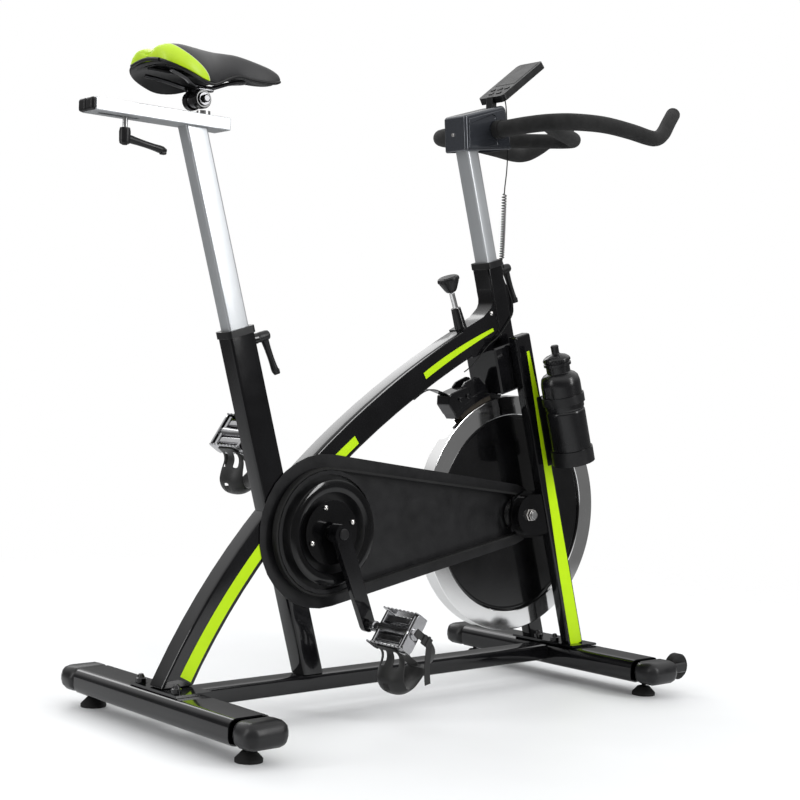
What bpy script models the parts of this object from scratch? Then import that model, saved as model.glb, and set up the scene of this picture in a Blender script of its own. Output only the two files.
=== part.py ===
"""Indoor cycling bike: welded frame, flywheel, belt drive, adjustable saddle and bars.

Units are metres. +X is the bike's front, -Y is the belt guard's side (the rider's right), +Z is up.
The floor is z = 0. Distances named "forward" are measured from the rear stabilizer's centre line.
The seat tube, the head tube and the fork legs all lean back by the same angle. A point on one of
them is given as (along the tube, across it towards the front, sideways).
"""
import math

import bmesh
import bpy
from mathutils import Matrix, Vector

# ---------------------------------------------------------------- driving dimensions
REAR_X = -0.4356
LEAN = math.radians(16.5)
GAP = 0.0003

# base
STABILIZER_WIDTH = 0.078
STABILIZER_BOTTOM = 0.025
STABILIZER_TOP = 0.067
STABILIZER_HALF_LENGTH = 0.226
CAP_LENGTH = 0.055
FRONT_FORWARD = 0.897
FOOT_SIDE = 0.226
FOOT_RADIUS = 0.0215
RAIL_WIDTH = 0.042
RAIL_HEIGHT = 0.030
PLATE_THICKNESS = 0.004
WHEEL_RADIUS = 0.024
WHEEL_FORWARD = 0.962
WHEEL_SIDE = 0.248
WHEEL_UP = 0.050

# frame tubes
SEAT_TOP = (0.110, 0.643)
SEAT_TUBE_SIZE = (0.052, 0.036)
SEAT_STRUT_SIZE = (0.042, 0.038)
SEAT_CROSSING_UP = 0.335
HEAD_TOP = (0.674, 0.794)
HEAD_TUBE_SIZE = (0.038, 0.044)
MAIN_TUBE_HEIGHT = 0.054
MAIN_TUBE_WIDTH = 0.038
MAIN_START = (0.0105, 0.079)
MAIN_BEND = (0.2018, 0.4388)
MAIN_END = (0.680, 0.672)
FORK_SIDE = 0.052
FORK_LEG_SIZE = (0.040, 0.022)
FORK_LEG_TOP = -0.139
CROWN_BOTTOM = -0.240
WALL = 0.0025

# drive
CRANK_AT = (0.288, 0.309)
CRANK_LENGTH = 0.170
CRANK_ANGLE = math.radians(22.5)
CRANK_PULLEY_RADIUS = 0.105
FLYWHEEL_AT = (0.752, 0.3243)
FLYWHEEL_RADIUS = 0.2225
FLYWHEEL_HALF_THICKNESS = 0.014
FLYWHEEL_DISC_RADIUS = 0.187
FLY_PULLEY_RADIUS = 0.034
BELT_SIDE = -0.031
BELT_WIDTH = 0.012
BELT_THICKNESS = 0.004
GUARD_OUTER_SIDE = -0.0500
GUARD_INNER_SIDE = -0.0215
GUARD_BIG_RADIUS = 0.132
GUARD_SMALL_AT = (0.745, 0.322)
GUARD_SMALL_RADIUS = 0.058
GUARD_WALL = 0.0025
COVER_RADIUS = 0.0550
PEDAL_SIDE = 0.145
PEDAL_TOE_ANGLE = math.radians(124)

# saddle
POST_SIZE = (0.040, 0.027)
POST_INSERT = 0.110
RAIL_REAR = -0.170
RAIL_FRONT = 0.0745
SEAT_RAIL_BOTTOM = 0.9590
SEAT_RAIL_TOP = 0.9795
SEAT_RAIL_WIDTH = 0.045
SADDLE_PIVOT = (0.0225, 1.0030)
STUB_FORWARD = 0.036
SADDLE_BASE_GAP = 0.0032
SADDLE_BASE_THICKNESS = 0.0032
# forward, half width, top and lower edge of the saddle, from tail to nose
SADDLE_STATIONS = ((-0.071, 0.048, 1.070, 1.048), (-0.056, 0.070, 1.0785, 1.038), (-0.035, 0.0775, 1.081, 1.029),
                   (-0.010, 0.0755, 1.080, 1.022), (0.015, 0.061, 1.080, 1.0225), (0.040, 0.043, 1.081, 1.030),
                   (0.065, 0.030, 1.083, 1.041), (0.090, 0.022, 1.084, 1.049), (0.120, 0.018, 1.081, 1.0475),
                   (0.155, 0.015, 1.075, 1.049), (0.180, 0.009, 1.065, 1.056))
CLAMP_RADIUS = 0.0152
SEAT_LEVER_FORWARD = -0.106

# bars
BAR_POST_SIZE = (0.028, 0.034)
BAR_AT = (0.662, 1.037)
BAR_RADIUS = 0.016
BAR_LOOP_RADIUS = 0.0145
STEM_WIDTH = 0.058
STEM_LOOP = [(0.5800, 1.0535), (0.5860, 0.9885), (0.7040, 1.0055), (0.6845, 1.0790), (0.6765, 1.0843)]
STEM_CLEAR = [(0.5795, 1.0538), (0.5860, 0.9885), (0.7040, 1.0055), (0.6850, 1.0793), (0.6766, 1.0848)]
CONSOLE_LOW = (0.6685, 1.1003)
CONSOLE_TILT = math.radians(37.5)
CONSOLE_SIZE = (0.134, 0.066, 0.013)

# brake
KNOB_ENTRY = (0.6118, 0.674)
KNOB_LEAN = math.radians(22)
BRAKE_PIVOT = (0.530, 0.5545)

# bottle
BOTTLE_RADIUS = 0.037
BOTTLE_SIDE = -0.1055
BOTTLE_ACROSS = 0.033
BOTTLE_BOTTOM = -0.390
BOTTLE_SHOULDER = -0.232

RIGHT = -1
LEFT = 1

# ---------------------------------------------------------------- scene and helpers
for old in list(bpy.data.objects):
    bpy.data.objects.remove(old, do_unlink=True)
parts = bpy.data.collections.new("indoor_bike")
cutters = bpy.data.collections.new("cutters")
bpy.context.scene.collection.children.link(parts)
bpy.context.scene.collection.children.link(cutters)


def material(name, color, roughness, metallic=0.0):
    made = bpy.data.materials.new(name)
    made.use_nodes = True
    shader = made.node_tree.nodes["Principled BSDF"]
    shader.inputs["Base Color"].default_value = (*color, 1.0)
    shader.inputs["Roughness"].default_value = roughness
    shader.inputs["Metallic"].default_value = metallic
    return made


BLACK_PAINT = material("black_paint", (0.008, 0.008, 0.010), 0.22)
SILVER_TUBE = material("silver_tube", (0.62, 0.63, 0.66), 0.30, 0.9)
BLACK_PLASTIC = material("black_plastic", (0.015, 0.015, 0.017), 0.45)
GLOSS_PLASTIC = material("gloss_plastic", (0.006, 0.006, 0.007), 0.12)
GREY_PLASTIC = material("grey_plastic", (0.09, 0.09, 0.10), 0.25)
RUBBER = material("rubber", (0.02, 0.02, 0.02), 0.85)
FOAM = material("foam_grip", (0.03, 0.03, 0.03), 0.9)
CHROME = material("chrome", (0.75, 0.75, 0.76), 0.10, 1.0)
STEEL = material("steel", (0.50, 0.50, 0.50), 0.35, 1.0)
ALLOY = material("alloy", (0.70, 0.70, 0.70), 0.30, 1.0)
LEATHER = material("saddle_cover", (0.02, 0.02, 0.02), 0.55)


def spot(forward, side, up):
    return Vector((REAR_X + forward, side, up))


def lean_matrix(top, along=0.0, across=0.0, side=0.0):
    """Frame of a leaning tube: Z runs up the tube, X across it to the front."""
    turn = Matrix.Rotation(-LEAN, 4, "Y")
    return Matrix.Translation(spot(top[0], 0.0, top[1])) @ turn @ Matrix.Translation((across, side, along))


def lean_point(top, along, across=0.0, side=0.0):
    return lean_matrix(top, along, across, side).translation


def place(obj, mat, collection=parts):
    if mat is not None:
        obj.data.materials.clear()
        obj.data.materials.append(mat)
    collection.objects.link(obj)
    return obj


def from_bmesh(name, bm, mat, matrix, collection=parts):
    mesh = bpy.data.meshes.new(name)
    bm.to_mesh(mesh)
    bm.free()
    obj = bpy.data.objects.new(name, mesh)
    obj.matrix_world = matrix
    return place(obj, mat, collection)


def smooth(obj, angle=40):
    obj.data.shade_smooth()
    obj.data.set_sharp_from_angle(angle=math.radians(angle))
    return obj


def bevel(obj, width, segments=2):
    edges = obj.modifiers.new("edges", "BEVEL")
    edges.width = width
    edges.segments = segments
    edges.limit_method = "ANGLE"
    edges.angle_limit = math.radians(40)
    return obj


def box(name, size, matrix, mat, edge=0.0, segments=2, collection=parts):
    bm = bmesh.new()
    bmesh.ops.create_cube(bm, size=1.0, matrix=Matrix.Diagonal((*size, 1.0)))
    obj = from_bmesh(name, bm, mat, matrix, collection)
    if edge > 0:
        bevel(obj, edge, segments)
    return obj


def cylinder(name, radius, depth, matrix, mat, sides=24, end_radius=None, collection=parts):
    """A cylinder or cone along the matrix's Z axis."""
    bm = bmesh.new()
    top = radius if end_radius is None else end_radius
    bmesh.ops.create_cone(bm, cap_ends=True, segments=sides, radius1=radius, radius2=top, depth=depth)
    return smooth(from_bmesh(name, bm, mat, matrix, collection))


def cross(forward, up, side=0.0):
    """Frame whose Z axis lies across the bike, towards -Y."""
    return Matrix.Translation(spot(forward, side, up)) @ Matrix.Rotation(math.radians(90), 4, "X")


def turned(name, profile, matrix, mat, sides=32, collection=parts, closed=False):
    """Turn (radius, height) points round Z; listed down the outer side, top to bottom."""
    mesh = bpy.data.meshes.new(name)
    count = len(profile)
    edges = [(i, i + 1) for i in range(count - 1)]
    if closed:
        edges.append((count - 1, 0))
    mesh.from_pydata([(r, 0.0, z) for r, z in profile], edges, [])
    obj = bpy.data.objects.new(name, mesh)
    obj.matrix_world = matrix
    place(obj, mat, collection)
    screw = obj.modifiers.new("turn", "SCREW")
    screw.steps = sides
    screw.render_steps = sides
    screw.use_merge_vertices = True
    screw.merge_threshold = 0.00005
    screw.use_smooth_shade = True
    return obj


def outline(name, loops, thickness, matrix, mat, edge=0.0, collection=parts):
    """A flat outline in the matrix's XY plane, extruded both ways along its Z."""
    curve = bpy.data.curves.new(name, "CURVE")
    curve.dimensions = "2D"
    curve.fill_mode = "BOTH"
    curve.extrude = thickness / 2
    for loop in loops:
        spline = curve.splines.new("POLY")
        spline.points.add(len(loop) - 1)
        for point, (x, y) in zip(spline.points, loop):
            point.co = (x, y, 0.0, 1.0)
        spline.use_cyclic_u = True
    flat = bpy.data.objects.new(name, curve)
    flat.matrix_world = matrix
    return meshed(flat, mat, collection, edge)


def meshed(curve_object, mat, collection=parts, edge=0.0):
    """Turn a curve object into a welded mesh object of the same name."""
    name = curve_object.name
    matrix = curve_object.matrix_world.copy()
    curve_object.name = name + "_curve"
    bpy.context.scene.collection.objects.link(curve_object)
    bpy.context.view_layer.update()
    graph = bpy.context.evaluated_depsgraph_get()
    mesh = bpy.data.meshes.new_from_object(curve_object.evaluated_get(graph))
    bpy.data.objects.remove(curve_object, do_unlink=True)
    bm = bmesh.new()
    bm.from_mesh(mesh)
    bmesh.ops.remove_doubles(bm, verts=bm.verts, dist=0.00005)
    bmesh.ops.recalc_face_normals(bm, faces=bm.faces)
    bm.to_mesh(mesh)
    bm.free()
    obj = bpy.data.objects.new(name, mesh)
    obj.matrix_world = matrix
    place(obj, mat, collection)
    if edge > 0:
        bevel(obj, edge)
    return obj


def side_plane(side):
    """Frame of an outline drawn in (forward, up), its thickness across the bike."""
    return Matrix.Translation(spot(0.0, side, 0.0)) @ Matrix.Rotation(math.radians(90), 4, "X")


def tube(name, points, radius, mat, resolution=2, cyclic=False):
    curve = bpy.data.curves.new(name, "CURVE")
    curve.dimensions = "3D"
    curve.bevel_depth = radius
    curve.bevel_resolution = resolution
    curve.use_fill_caps = not cyclic
    spline = curve.splines.new("POLY")
    spline.points.add(len(points) - 1)
    for point, where in zip(spline.points, points):
        point.co = (*where, 1.0)
    spline.use_cyclic_u = cyclic
    return meshed(bpy.data.objects.new(name, curve), mat)


def smooth_route(knots, count):
    """Catmull-Rom points through the knots, evenly spread over the segments."""
    knots = [Vector(k) for k in knots]
    ends = [2 * knots[0] - knots[1]] + knots + [2 * knots[-1] - knots[-2]]
    route = []
    spans = len(knots) - 1
    for step in range(count):
        place_on = step * spans / (count - 1)
        i = min(int(place_on), spans - 1)
        t = place_on - i
        a, b, c, d = ends[i:i + 4]
        route.append(0.5 * (2 * b + (c - a) * t + (2 * a - 5 * b + 4 * c - d) * t ** 2
                            + (3 * b - a - 3 * c + d) * t ** 3))
    return route


def combine(obj, tool, operation="DIFFERENCE"):
    """Cut, join or intersect with a tool, which is kept as a hidden wire guide."""
    for holder in list(tool.users_collection):
        holder.objects.unlink(tool)
    cutters.objects.link(tool)
    tool.hide_render = True
    tool.display_type = "WIRE"
    step = obj.modifiers.new(operation.lower(), "BOOLEAN")
    step.operation = operation
    step.object = tool
    step.solver = "EXACT"
    return obj


def join(obj, tool):
    return combine(obj, tool, "UNION")


def parent_to(empty_name, where, children):
    """An empty on a joint's axis that carries the pieces of one moving body."""
    empty = bpy.data.objects.new(empty_name, None)
    empty.matrix_world = Matrix.Translation(where)
    empty.empty_display_size = 0.03
    parts.objects.link(empty)
    bpy.context.view_layer.update()
    for child in children:
        world = child.matrix_world.copy()
        child.parent = empty
        child.matrix_parent_inverse = empty.matrix_world.inverted()
        child.matrix_world = world
    return empty


def arc(center, radius, start, stop, count):
    """Points of an arc in (forward, up), angles in degrees."""
    angles = [math.radians(start + (stop - start) * i / (count - 1)) for i in range(count)]
    return [(center[0] + radius * math.cos(a), center[1] + radius * math.sin(a)) for a in angles]


def hull_of_circles(big, big_radius, small, small_radius, steps):
    """Outline of a belt run round two circles: two arcs and their outer tangents."""
    run = Vector(small) - Vector(big)
    lie = math.degrees(math.atan2(run.y, run.x))
    spread = math.degrees(math.acos((big_radius - small_radius) / run.length))
    front = arc(small, small_radius, lie - spread, lie + spread, steps)
    back = arc(big, big_radius, lie + spread, lie + 360 - spread, 2 * steps)
    return front + back


# ---------------------------------------------------------------- base
def stabilizer(name, forward):
    height = STABILIZER_TOP - STABILIZER_BOTTOM
    middle = (STABILIZER_TOP + STABILIZER_BOTTOM) / 2
    size = (STABILIZER_WIDTH, 2 * STABILIZER_HALF_LENGTH, height)
    obj = box(name, size, Matrix.Translation(spot(forward, 0, middle)), BLACK_PAINT)
    long_edges = bevel(obj, 0.014, 3)
    long_edges.modifiers["edges"].limit_method = "WEIGHT"
    weights = obj.data.attributes.new("bevel_weight_edge", "FLOAT", "EDGE")
    for edge in obj.data.edges:
        a, b = (obj.data.vertices[i].co for i in edge.vertices)
        weights.data[edge.index].value = 1.0 if abs(a.y - b.y) > 0.1 else 0.0
    inside = (size[0] - 2 * WALL, size[1] + 0.1, height - 2 * WALL)
    hollow = box("inside_" + name, inside, Matrix.Translation(spot(forward, 0, middle)), None, 0.010, 2, cutters)
    return combine(obj, hollow)


def end_cap(name, forward, hand):
    height = STABILIZER_TOP - STABILIZER_BOTTOM
    middle = (STABILIZER_TOP + STABILIZER_BOTTOM) / 2
    side = hand * (STABILIZER_HALF_LENGTH + GAP + CAP_LENGTH / 2)
    matrix = Matrix.Translation(spot(forward, side, middle))
    return box(name, (STABILIZER_WIDTH + 0.001, CAP_LENGTH, height + 0.001), matrix, BLACK_PLASTIC, 0.018, 3)


def wheel_lug(cap, hand):
    """The fork of a transport wheel, moulded on a front end cap."""
    for i, offset in enumerate((-0.016, 0.016)):
        matrix = Matrix.Translation(spot(WHEEL_FORWARD - 0.014, hand * WHEEL_SIDE + offset, WHEEL_UP))
        lug = box("wheel_lug_%d_%s" % (i, cap.name), (0.044, 0.005, 0.018), matrix, None, 0.002, 1, cutters)
        join(cap, lug)
    axle = cylinder("wheel_pin_" + cap.name, 0.0035, 0.032, cross(WHEEL_FORWARD, WHEEL_UP, hand * WHEEL_SIDE),
                    None, 12, None, cutters)
    return join(cap, axle)


def transport_wheel(name, hand):
    half = 0.011
    bore = 0.0038
    profile = [(bore, half), (WHEEL_RADIUS - 0.004, half), (WHEEL_RADIUS, half - 0.004),
               (WHEEL_RADIUS, -half + 0.004), (WHEEL_RADIUS - 0.004, -half), (bore, -half)]
    return turned(name, profile, cross(WHEEL_FORWARD, WHEEL_UP, hand * WHEEL_SIDE), RUBBER, 22, closed=True)


def levelling_foot(name, forward, hand):
    profile = [(0.0, STABILIZER_BOTTOM - GAP), (0.004, STABILIZER_BOTTOM - GAP), (0.004, 0.017), (0.011, 0.016),
               (FOOT_RADIUS, 0.005), (FOOT_RADIUS, 0.0), (0.0, 0.0)]
    return turned(name, profile, Matrix.Translation(spot(forward, hand * FOOT_SIDE, 0.0)), RUBBER, 24)


def mount_plate(name, forward, size, nuts):
    """A bolted plate on top of a stabilizer, with its bolts' domed nuts."""
    middle = STABILIZER_TOP + 0.0005 + PLATE_THICKNESS / 2
    obj = box(name, (*size, PLATE_THICKNESS), Matrix.Translation(spot(forward, 0, middle)), BLACK_PAINT)
    for i, (ahead, side) in enumerate(nuts):
        top = STABILIZER_TOP + PLATE_THICKNESS
        profile = [(0.0, top + 0.016), (0.004, top + 0.0145), (0.0065, top + 0.009), (0.0085, top + 0.008),
                   (0.0085, top + 0.001), (0.011, top + 0.001), (0.011, top - 0.001), (0.0, top - 0.001)]
        nut = turned("%s_nut_%d" % (name, i), profile, Matrix.Translation(spot(forward + ahead, side, 0)),
                     None, 12, cutters)
        join(obj, nut)
    return obj


def base_rail():
    front = FRONT_FORWARD - STABILIZER_WIDTH / 2 - GAP
    rear = STABILIZER_WIDTH / 2 + GAP
    top = STABILIZER_TOP - 0.001
    matrix = Matrix.Translation(spot((front + rear) / 2, 0, top - RAIL_HEIGHT / 2))
    obj = box("base_rail", (front - rear, RAIL_WIDTH, RAIL_HEIGHT), matrix, BLACK_PAINT, 0.006)
    inside = (front - rear + 0.1, RAIL_WIDTH - 2 * WALL, RAIL_HEIGHT - 2 * WALL)
    return combine(obj, box("inside_rail", inside, matrix, None, 0, 1, cutters))


# ---------------------------------------------------------------- welded frame
def main_curve(t):
    """Centre line of the main tube: a quadratic curve with its tangent."""
    a, b, c = Vector(MAIN_START), Vector(MAIN_BEND), Vector(MAIN_END)
    point = (1 - t) ** 2 * a + 2 * t * (1 - t) * b + t ** 2 * c
    tangent = (2 * (1 - t) * (b - a) + 2 * t * (c - b)).normalized()
    return point, tangent


def main_tube_loop(grow=0.0, steps=18):
    """Outline of the main tube, from its foot plate up to the head tube's rear face.

    Grown, it is a cutter for its neighbours; shrunk, it is the tube's open-ended hollow.
    """
    floor = STABILIZER_TOP + 0.0005 + PLATE_THICKNESS + GAP - abs(grow)
    half = MAIN_TUBE_HEIGHT / 2 + grow
    face = HEAD_TUBE_SIZE[0] / 2 + GAP - abs(grow)
    sides = []
    for sign in (1, -1):
        points = []
        for i in range(steps + 1):
            point, tangent = main_curve(i / steps)
            normal = Vector((-tangent.y, tangent.x))
            points.append(point + sign * half * normal)
        start_tangent = main_curve(0.0)[1]
        end_tangent = main_curve(1.0)[1]
        points = [p for p in points if p.y > floor + 0.004]
        first = points[0] - start_tangent * ((points[0].y - floor) / start_tangent.y)
        head = Vector(HEAD_TOP)
        across = Vector((math.cos(LEAN), math.sin(LEAN)))
        reach = -face - (points[-1] - head).dot(across)
        last = points[-1] + end_tangent * (reach / end_tangent.dot(across))
        sides.append([first] + points + [last])
    upper, lower = sides
    return [(p.x, p.y) for p in upper] + [(p.x, p.y) for p in reversed(lower)]


def main_tube_cutter(name):
    return outline(name, [main_tube_loop(GAP, 18)], 0.12, side_plane(0.0), None, 0.0, cutters)


def knob_frame(along):
    turn = Matrix.Rotation(-KNOB_LEAN, 4, "Y")
    return Matrix.Translation(spot(KNOB_ENTRY[0], 0, KNOB_ENTRY[1])) @ turn @ Matrix.Translation((0, 0, along))


def main_tube():
    obj = outline("main_tube", [main_tube_loop()], MAIN_TUBE_WIDTH, side_plane(0.0), BLACK_PAINT, 0.006)
    inside = outline("inside_main", [main_tube_loop(-WALL)], MAIN_TUBE_WIDTH - 2 * WALL, side_plane(0.0), None, 0, cutters)
    combine(obj, inside)
    sleeve = cylinder("rod_sleeve", 0.012, 0.046, knob_frame(0.010), None, 20, 0.009, cutters)
    join(obj, sleeve)
    combine(obj, cylinder("rod_bore", 0.0058, 0.20, knob_frame(-0.02), None, 16, None, cutters))
    return obj


def seat_tube():
    length = (SEAT_TOP[1] - SEAT_CROSSING_UP) / math.cos(LEAN)
    obj = box("seat_tube", (*SEAT_TUBE_SIZE, length), lean_matrix(SEAT_TOP, -length / 2), BLACK_PAINT, 0.006)
    hollow_depth = 0.285
    size = (POST_SIZE[0] + 0.002, POST_SIZE[1] + 0.002, hollow_depth + 0.02)
    hollow = box("seat_hollow", size, lean_matrix(SEAT_TOP, 0.02 - size[2] / 2), None, 0.003, 2, cutters)
    combine(obj, hollow)
    combine(obj, main_tube_cutter("seat_tube_notch"))
    turn = Matrix.Rotation(math.radians(90), 4, "Y")
    boss = cylinder("seat_boss", 0.0095, 0.014, lean_matrix(SEAT_TOP, -0.024, 0.030) @ turn, None, 16, None, cutters)
    join(obj, boss)
    clear = box("seat_boss_clear", size, lean_matrix(SEAT_TOP, 0.02 - size[2] / 2), None, 0.003, 2, cutters)
    return combine(obj, clear)


def seat_strut():
    """Lower part of the seat tube, with the bottom bracket shell welded to it."""
    low = SEAT_TOP[1] - 0.02
    top = (SEAT_TOP[1] - SEAT_CROSSING_UP) / math.cos(LEAN)
    bottom = low / math.cos(LEAN)
    middle = -(top + bottom) / 2
    obj = box("seat_strut", (*SEAT_STRUT_SIZE, bottom - top), lean_matrix(SEAT_TOP, middle), BLACK_PAINT, 0.006)
    inside = (SEAT_STRUT_SIZE[0] - 2 * WALL, SEAT_STRUT_SIZE[1] - 2 * WALL, bottom - top + 0.1)
    combine(obj, box("inside_strut", inside, lean_matrix(SEAT_TOP, middle), None, 0, 1, cutters))
    gusset_size = (0.085, 0.030, 0.046)
    gusset = box("bracket_gusset", gusset_size, Matrix.Translation(spot(0.247, 0, CRANK_AT[1])), None, 0, 1, cutters)
    join(obj, gusset)
    shell = cylinder("bracket_shell", 0.022, 0.0560, cross(*CRANK_AT, 0.0063), None, 28, None, cutters)
    join(obj, shell)
    combine(obj, cylinder("bracket_bore", 0.0125, 0.12, cross(*CRANK_AT), None, 24, None, cutters))
    combine(obj, main_tube_cutter("seat_strut_notch"))
    rail_top = STABILIZER_TOP - 0.001
    ground = box("seat_strut_foot", (0.4, 0.2, 0.2), Matrix.Translation(spot(0.28, 0, rail_top + GAP - 0.1)),
                 None, 0, 1, cutters)
    return combine(obj, ground)


def head_tube():
    """Head tube with the box crown between the fork legs."""
    crown_half = FORK_SIDE - FORK_LEG_SIZE[1] / 2 - GAP
    head_length = 0.215
    obj = box("head_tube", (*HEAD_TUBE_SIZE, head_length), lean_matrix(HEAD_TOP, -head_length / 2), BLACK_PAINT, 0.005)
    crown_size = (0.076, 2 * crown_half, 0.088)
    crown = box("fork_crown", crown_size, lean_matrix(HEAD_TOP, CROWN_BOTTOM + 0.044, -0.019), None, 0.003, 1, cutters)
    join(obj, crown)
    combine(obj, main_tube_cutter("head_notch"))
    size = (BAR_POST_SIZE[0] + 0.002, BAR_POST_SIZE[1] + 0.002, 0.32)
    turn = Matrix.Rotation(math.radians(90), 4, "Y")
    boss = cylinder("head_boss", 0.0095, 0.014, lean_matrix(HEAD_TOP, -0.022, 0.023) @ turn, None, 16, None, cutters)
    join(obj, boss)
    combine(obj, box("head_hollow", size, lean_matrix(HEAD_TOP, -0.065), None, 0, 1, cutters))
    rod_clear = cylinder("head_rod_clear", 0.009, 0.20, knob_frame(-0.09), None, 12, None, cutters)
    return combine(obj, rod_clear)


def fork_leg(name, hand):
    """A fork leg with its axle dropout plate welded to the inner face."""
    leg_bottom = -0.775
    length = FORK_LEG_TOP - leg_bottom
    matrix = lean_matrix(HEAD_TOP, FORK_LEG_TOP - length / 2, 0, hand * FORK_SIDE)
    obj = box(name, (*FORK_LEG_SIZE, length), matrix, BLACK_PAINT, 0.005)
    inside = (FORK_LEG_SIZE[0] - 2 * WALL, FORK_LEG_SIZE[1] - 2 * WALL, length)
    hollow_matrix = lean_matrix(HEAD_TOP, FORK_LEG_TOP - WALL - length / 2, 0, hand * FORK_SIDE)
    combine(obj, box("inside_" + name, inside, hollow_matrix, None, 0, 1, cutters))
    inner = hand * (FORK_SIDE - FORK_LEG_SIZE[1] / 2 + 0.0024)
    rear = FLYWHEEL_AT[0] - 0.034
    front = FLYWHEEL_AT[0] + 0.060
    plate_matrix = Matrix.Translation(spot((rear + front) / 2, inner, FLYWHEEL_AT[1]))
    plate = box("dropout_" + name, (front - rear, 0.0046, 0.062), plate_matrix, None, 0, 1, cutters)
    join(obj, plate)
    slot_matrix = Matrix.Translation(spot(FLYWHEEL_AT[0] - 0.006, inner, FLYWHEEL_AT[1]))
    combine(obj, box("slot_" + name, (0.036, 0.03, 0.0182), slot_matrix, None, 0, 1, cutters))
    foot_top = STABILIZER_TOP + 0.0005 + PLATE_THICKNESS + GAP
    ground = box("ground_" + name, (0.3, 0.2, 0.2), Matrix.Translation(spot(0.9, hand * 0.05, foot_top - 0.1)),
                 None, 0, 1, cutters)
    return combine(obj, ground)


# ---------------------------------------------------------------- belt drive
def guard_loop(inset=0.0, steps=9):
    return hull_of_circles(CRANK_AT, GUARD_BIG_RADIUS - inset, GUARD_SMALL_AT, GUARD_SMALL_RADIUS - inset, steps)


def belt_guard_outer():
    """Deep outer shell of the belt guard, open on the frame's side."""
    depth = GUARD_INNER_SIDE - GUARD_OUTER_SIDE
    middle = (GUARD_INNER_SIDE + GUARD_OUTER_SIDE) / 2
    obj = outline("belt_guard_outer", [guard_loop()], depth, side_plane(middle), GLOSS_PLASTIC, 0.005)
    hollow = outline("guard_hollow", [guard_loop(GUARD_WALL)], depth, side_plane(middle + GUARD_WALL), None, 0, cutters)
    combine(obj, hollow)
    combine(obj, cylinder("guard_hub_hole", COVER_RADIUS + GAP, 0.02, cross(*CRANK_AT, GUARD_OUTER_SIDE), None, 36,
                          None, cutters))
    slot = hull_of_circles((FLYWHEEL_AT[0] + 0.006, FLYWHEEL_AT[1]), 0.0371, (0.83, FLYWHEEL_AT[1]), 0.037, 8)
    combine(obj, outline("guard_axle_slot", [slot], 0.02, side_plane(GUARD_OUTER_SIDE), None, 0, cutters))
    leg_matrix = lean_matrix(HEAD_TOP, -0.5, 0, -FORK_SIDE)
    size = (FORK_LEG_SIZE[0] + 0.001, FORK_LEG_SIZE[1] + 0.0008, 0.5)
    combine(obj, box("guard_leg_notch", size, leg_matrix, None, 0, 1, cutters))
    plate_matrix = Matrix.Translation(spot(FLYWHEEL_AT[0] + 0.04, -(FORK_SIDE - FORK_LEG_SIZE[1] / 2 + 0.0024),
                                           FLYWHEEL_AT[1]))
    return combine(obj, box("guard_dropout_clear", (0.16, 0.0056, 0.0635), plate_matrix, None, 0, 1, cutters))


def belt_guard_inner():
    """Flat back plate of the belt guard, against the frame."""
    side = GUARD_INNER_SIDE + GAP + 0.0008
    obj = outline("belt_guard_inner", [guard_loop(0.0005)], 0.0012, side_plane(side), BLACK_PLASTIC)
    combine(obj, cylinder("inner_hub_hole", 0.0245, 0.02, cross(*CRANK_AT, side), None, 24, None, cutters))
    return combine(obj, cylinder("inner_axle_hole", 0.030, 0.02, cross(*FLYWHEEL_AT, side), None, 24, None, cutters))


def crank_cover():
    """Recessed disc round the crank, held by four screws."""
    matrix = cross(*CRANK_AT, -0.0452)
    profile = [(0.0145, 0.0012), (COVER_RADIUS, 0.0012), (COVER_RADIUS, -0.0012), (0.0145, -0.0012)]
    obj = turned("crank_cover", profile, matrix, GLOSS_PLASTIC, 28, closed=True)
    for i in range(4):
        angle = math.radians(21 + 90 * i)
        ahead = CRANK_AT[0] + 0.0456 * math.cos(angle)
        up = CRANK_AT[1] + 0.0456 * math.sin(angle)
        join(obj, cylinder("cover_screw_%d" % i, 0.0042, 0.0034, cross(ahead, up, -0.0470), None, 10, None, cutters))
    return obj


def crank_axle():
    """Square-ended bottom bracket axle with its two bearing shoulders."""
    half = 0.068
    profile = [(0.0, half), (0.0072, half), (0.0085, 0.040), (0.0085, 0.0210), (0.0120, 0.0210), (0.0120, 0.0095),
               (0.0085, 0.0095), (0.0085, -0.022), (0.0120, -0.022), (0.0120, -0.0335), (0.0085, -0.0335),
               (0.0085, -0.040), (0.0072, -half), (0.0, -half)]
    return turned("crank_axle", profile, cross(*CRANK_AT, 0.0), STEEL, 16)


def crank_pulley():
    half = BELT_WIDTH / 2 + 0.001
    rim = CRANK_PULLEY_RADIUS
    bore = 0.0088
    profile = [(bore, half), (0.024, half), (0.024, 0.002), (rim - 0.007, 0.002), (rim - 0.007, half), (rim, half),
               (rim, -half), (rim - 0.007, -half), (rim - 0.007, -0.002), (0.024, -0.002), (0.024, -half),
               (bore, -half)]
    obj = turned("crank_pulley", profile, cross(*CRANK_AT, BELT_SIDE), BLACK_PLASTIC, 28, closed=True)
    return obj


def crank_arm(name, hand):
    """A forged arm: boss on the axle, tapered blade and a pedal eye."""
    up = 1 if hand == LEFT else -1
    forward = -math.sin(CRANK_ANGLE) * up * hand * hand
    eye = (CRANK_AT[0] + CRANK_LENGTH * forward, CRANK_AT[1] + up * CRANK_LENGTH * math.cos(CRANK_ANGLE))
    side = hand * 0.0690
    obj = outline(name, [hull_of_circles(CRANK_AT, 0.0155, eye, 0.0125, 8)], 0.0125, side_plane(side),
                  BLACK_PAINT, 0.003)
    boss_side = hand * 0.0675
    join(obj, cylinder("boss_" + name, 0.0175, 0.0225, cross(*CRANK_AT, boss_side), None, 24, None, cutters))
    combine(obj, cylinder("bore_" + name, 0.0088, 0.02, cross(*CRANK_AT, hand * 0.0605), None, 16, None, cutters))
    combine(obj, cylinder("eye_" + name, 0.0066, 0.05, cross(*eye, side), None, 16, None, cutters))
    return obj


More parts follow.
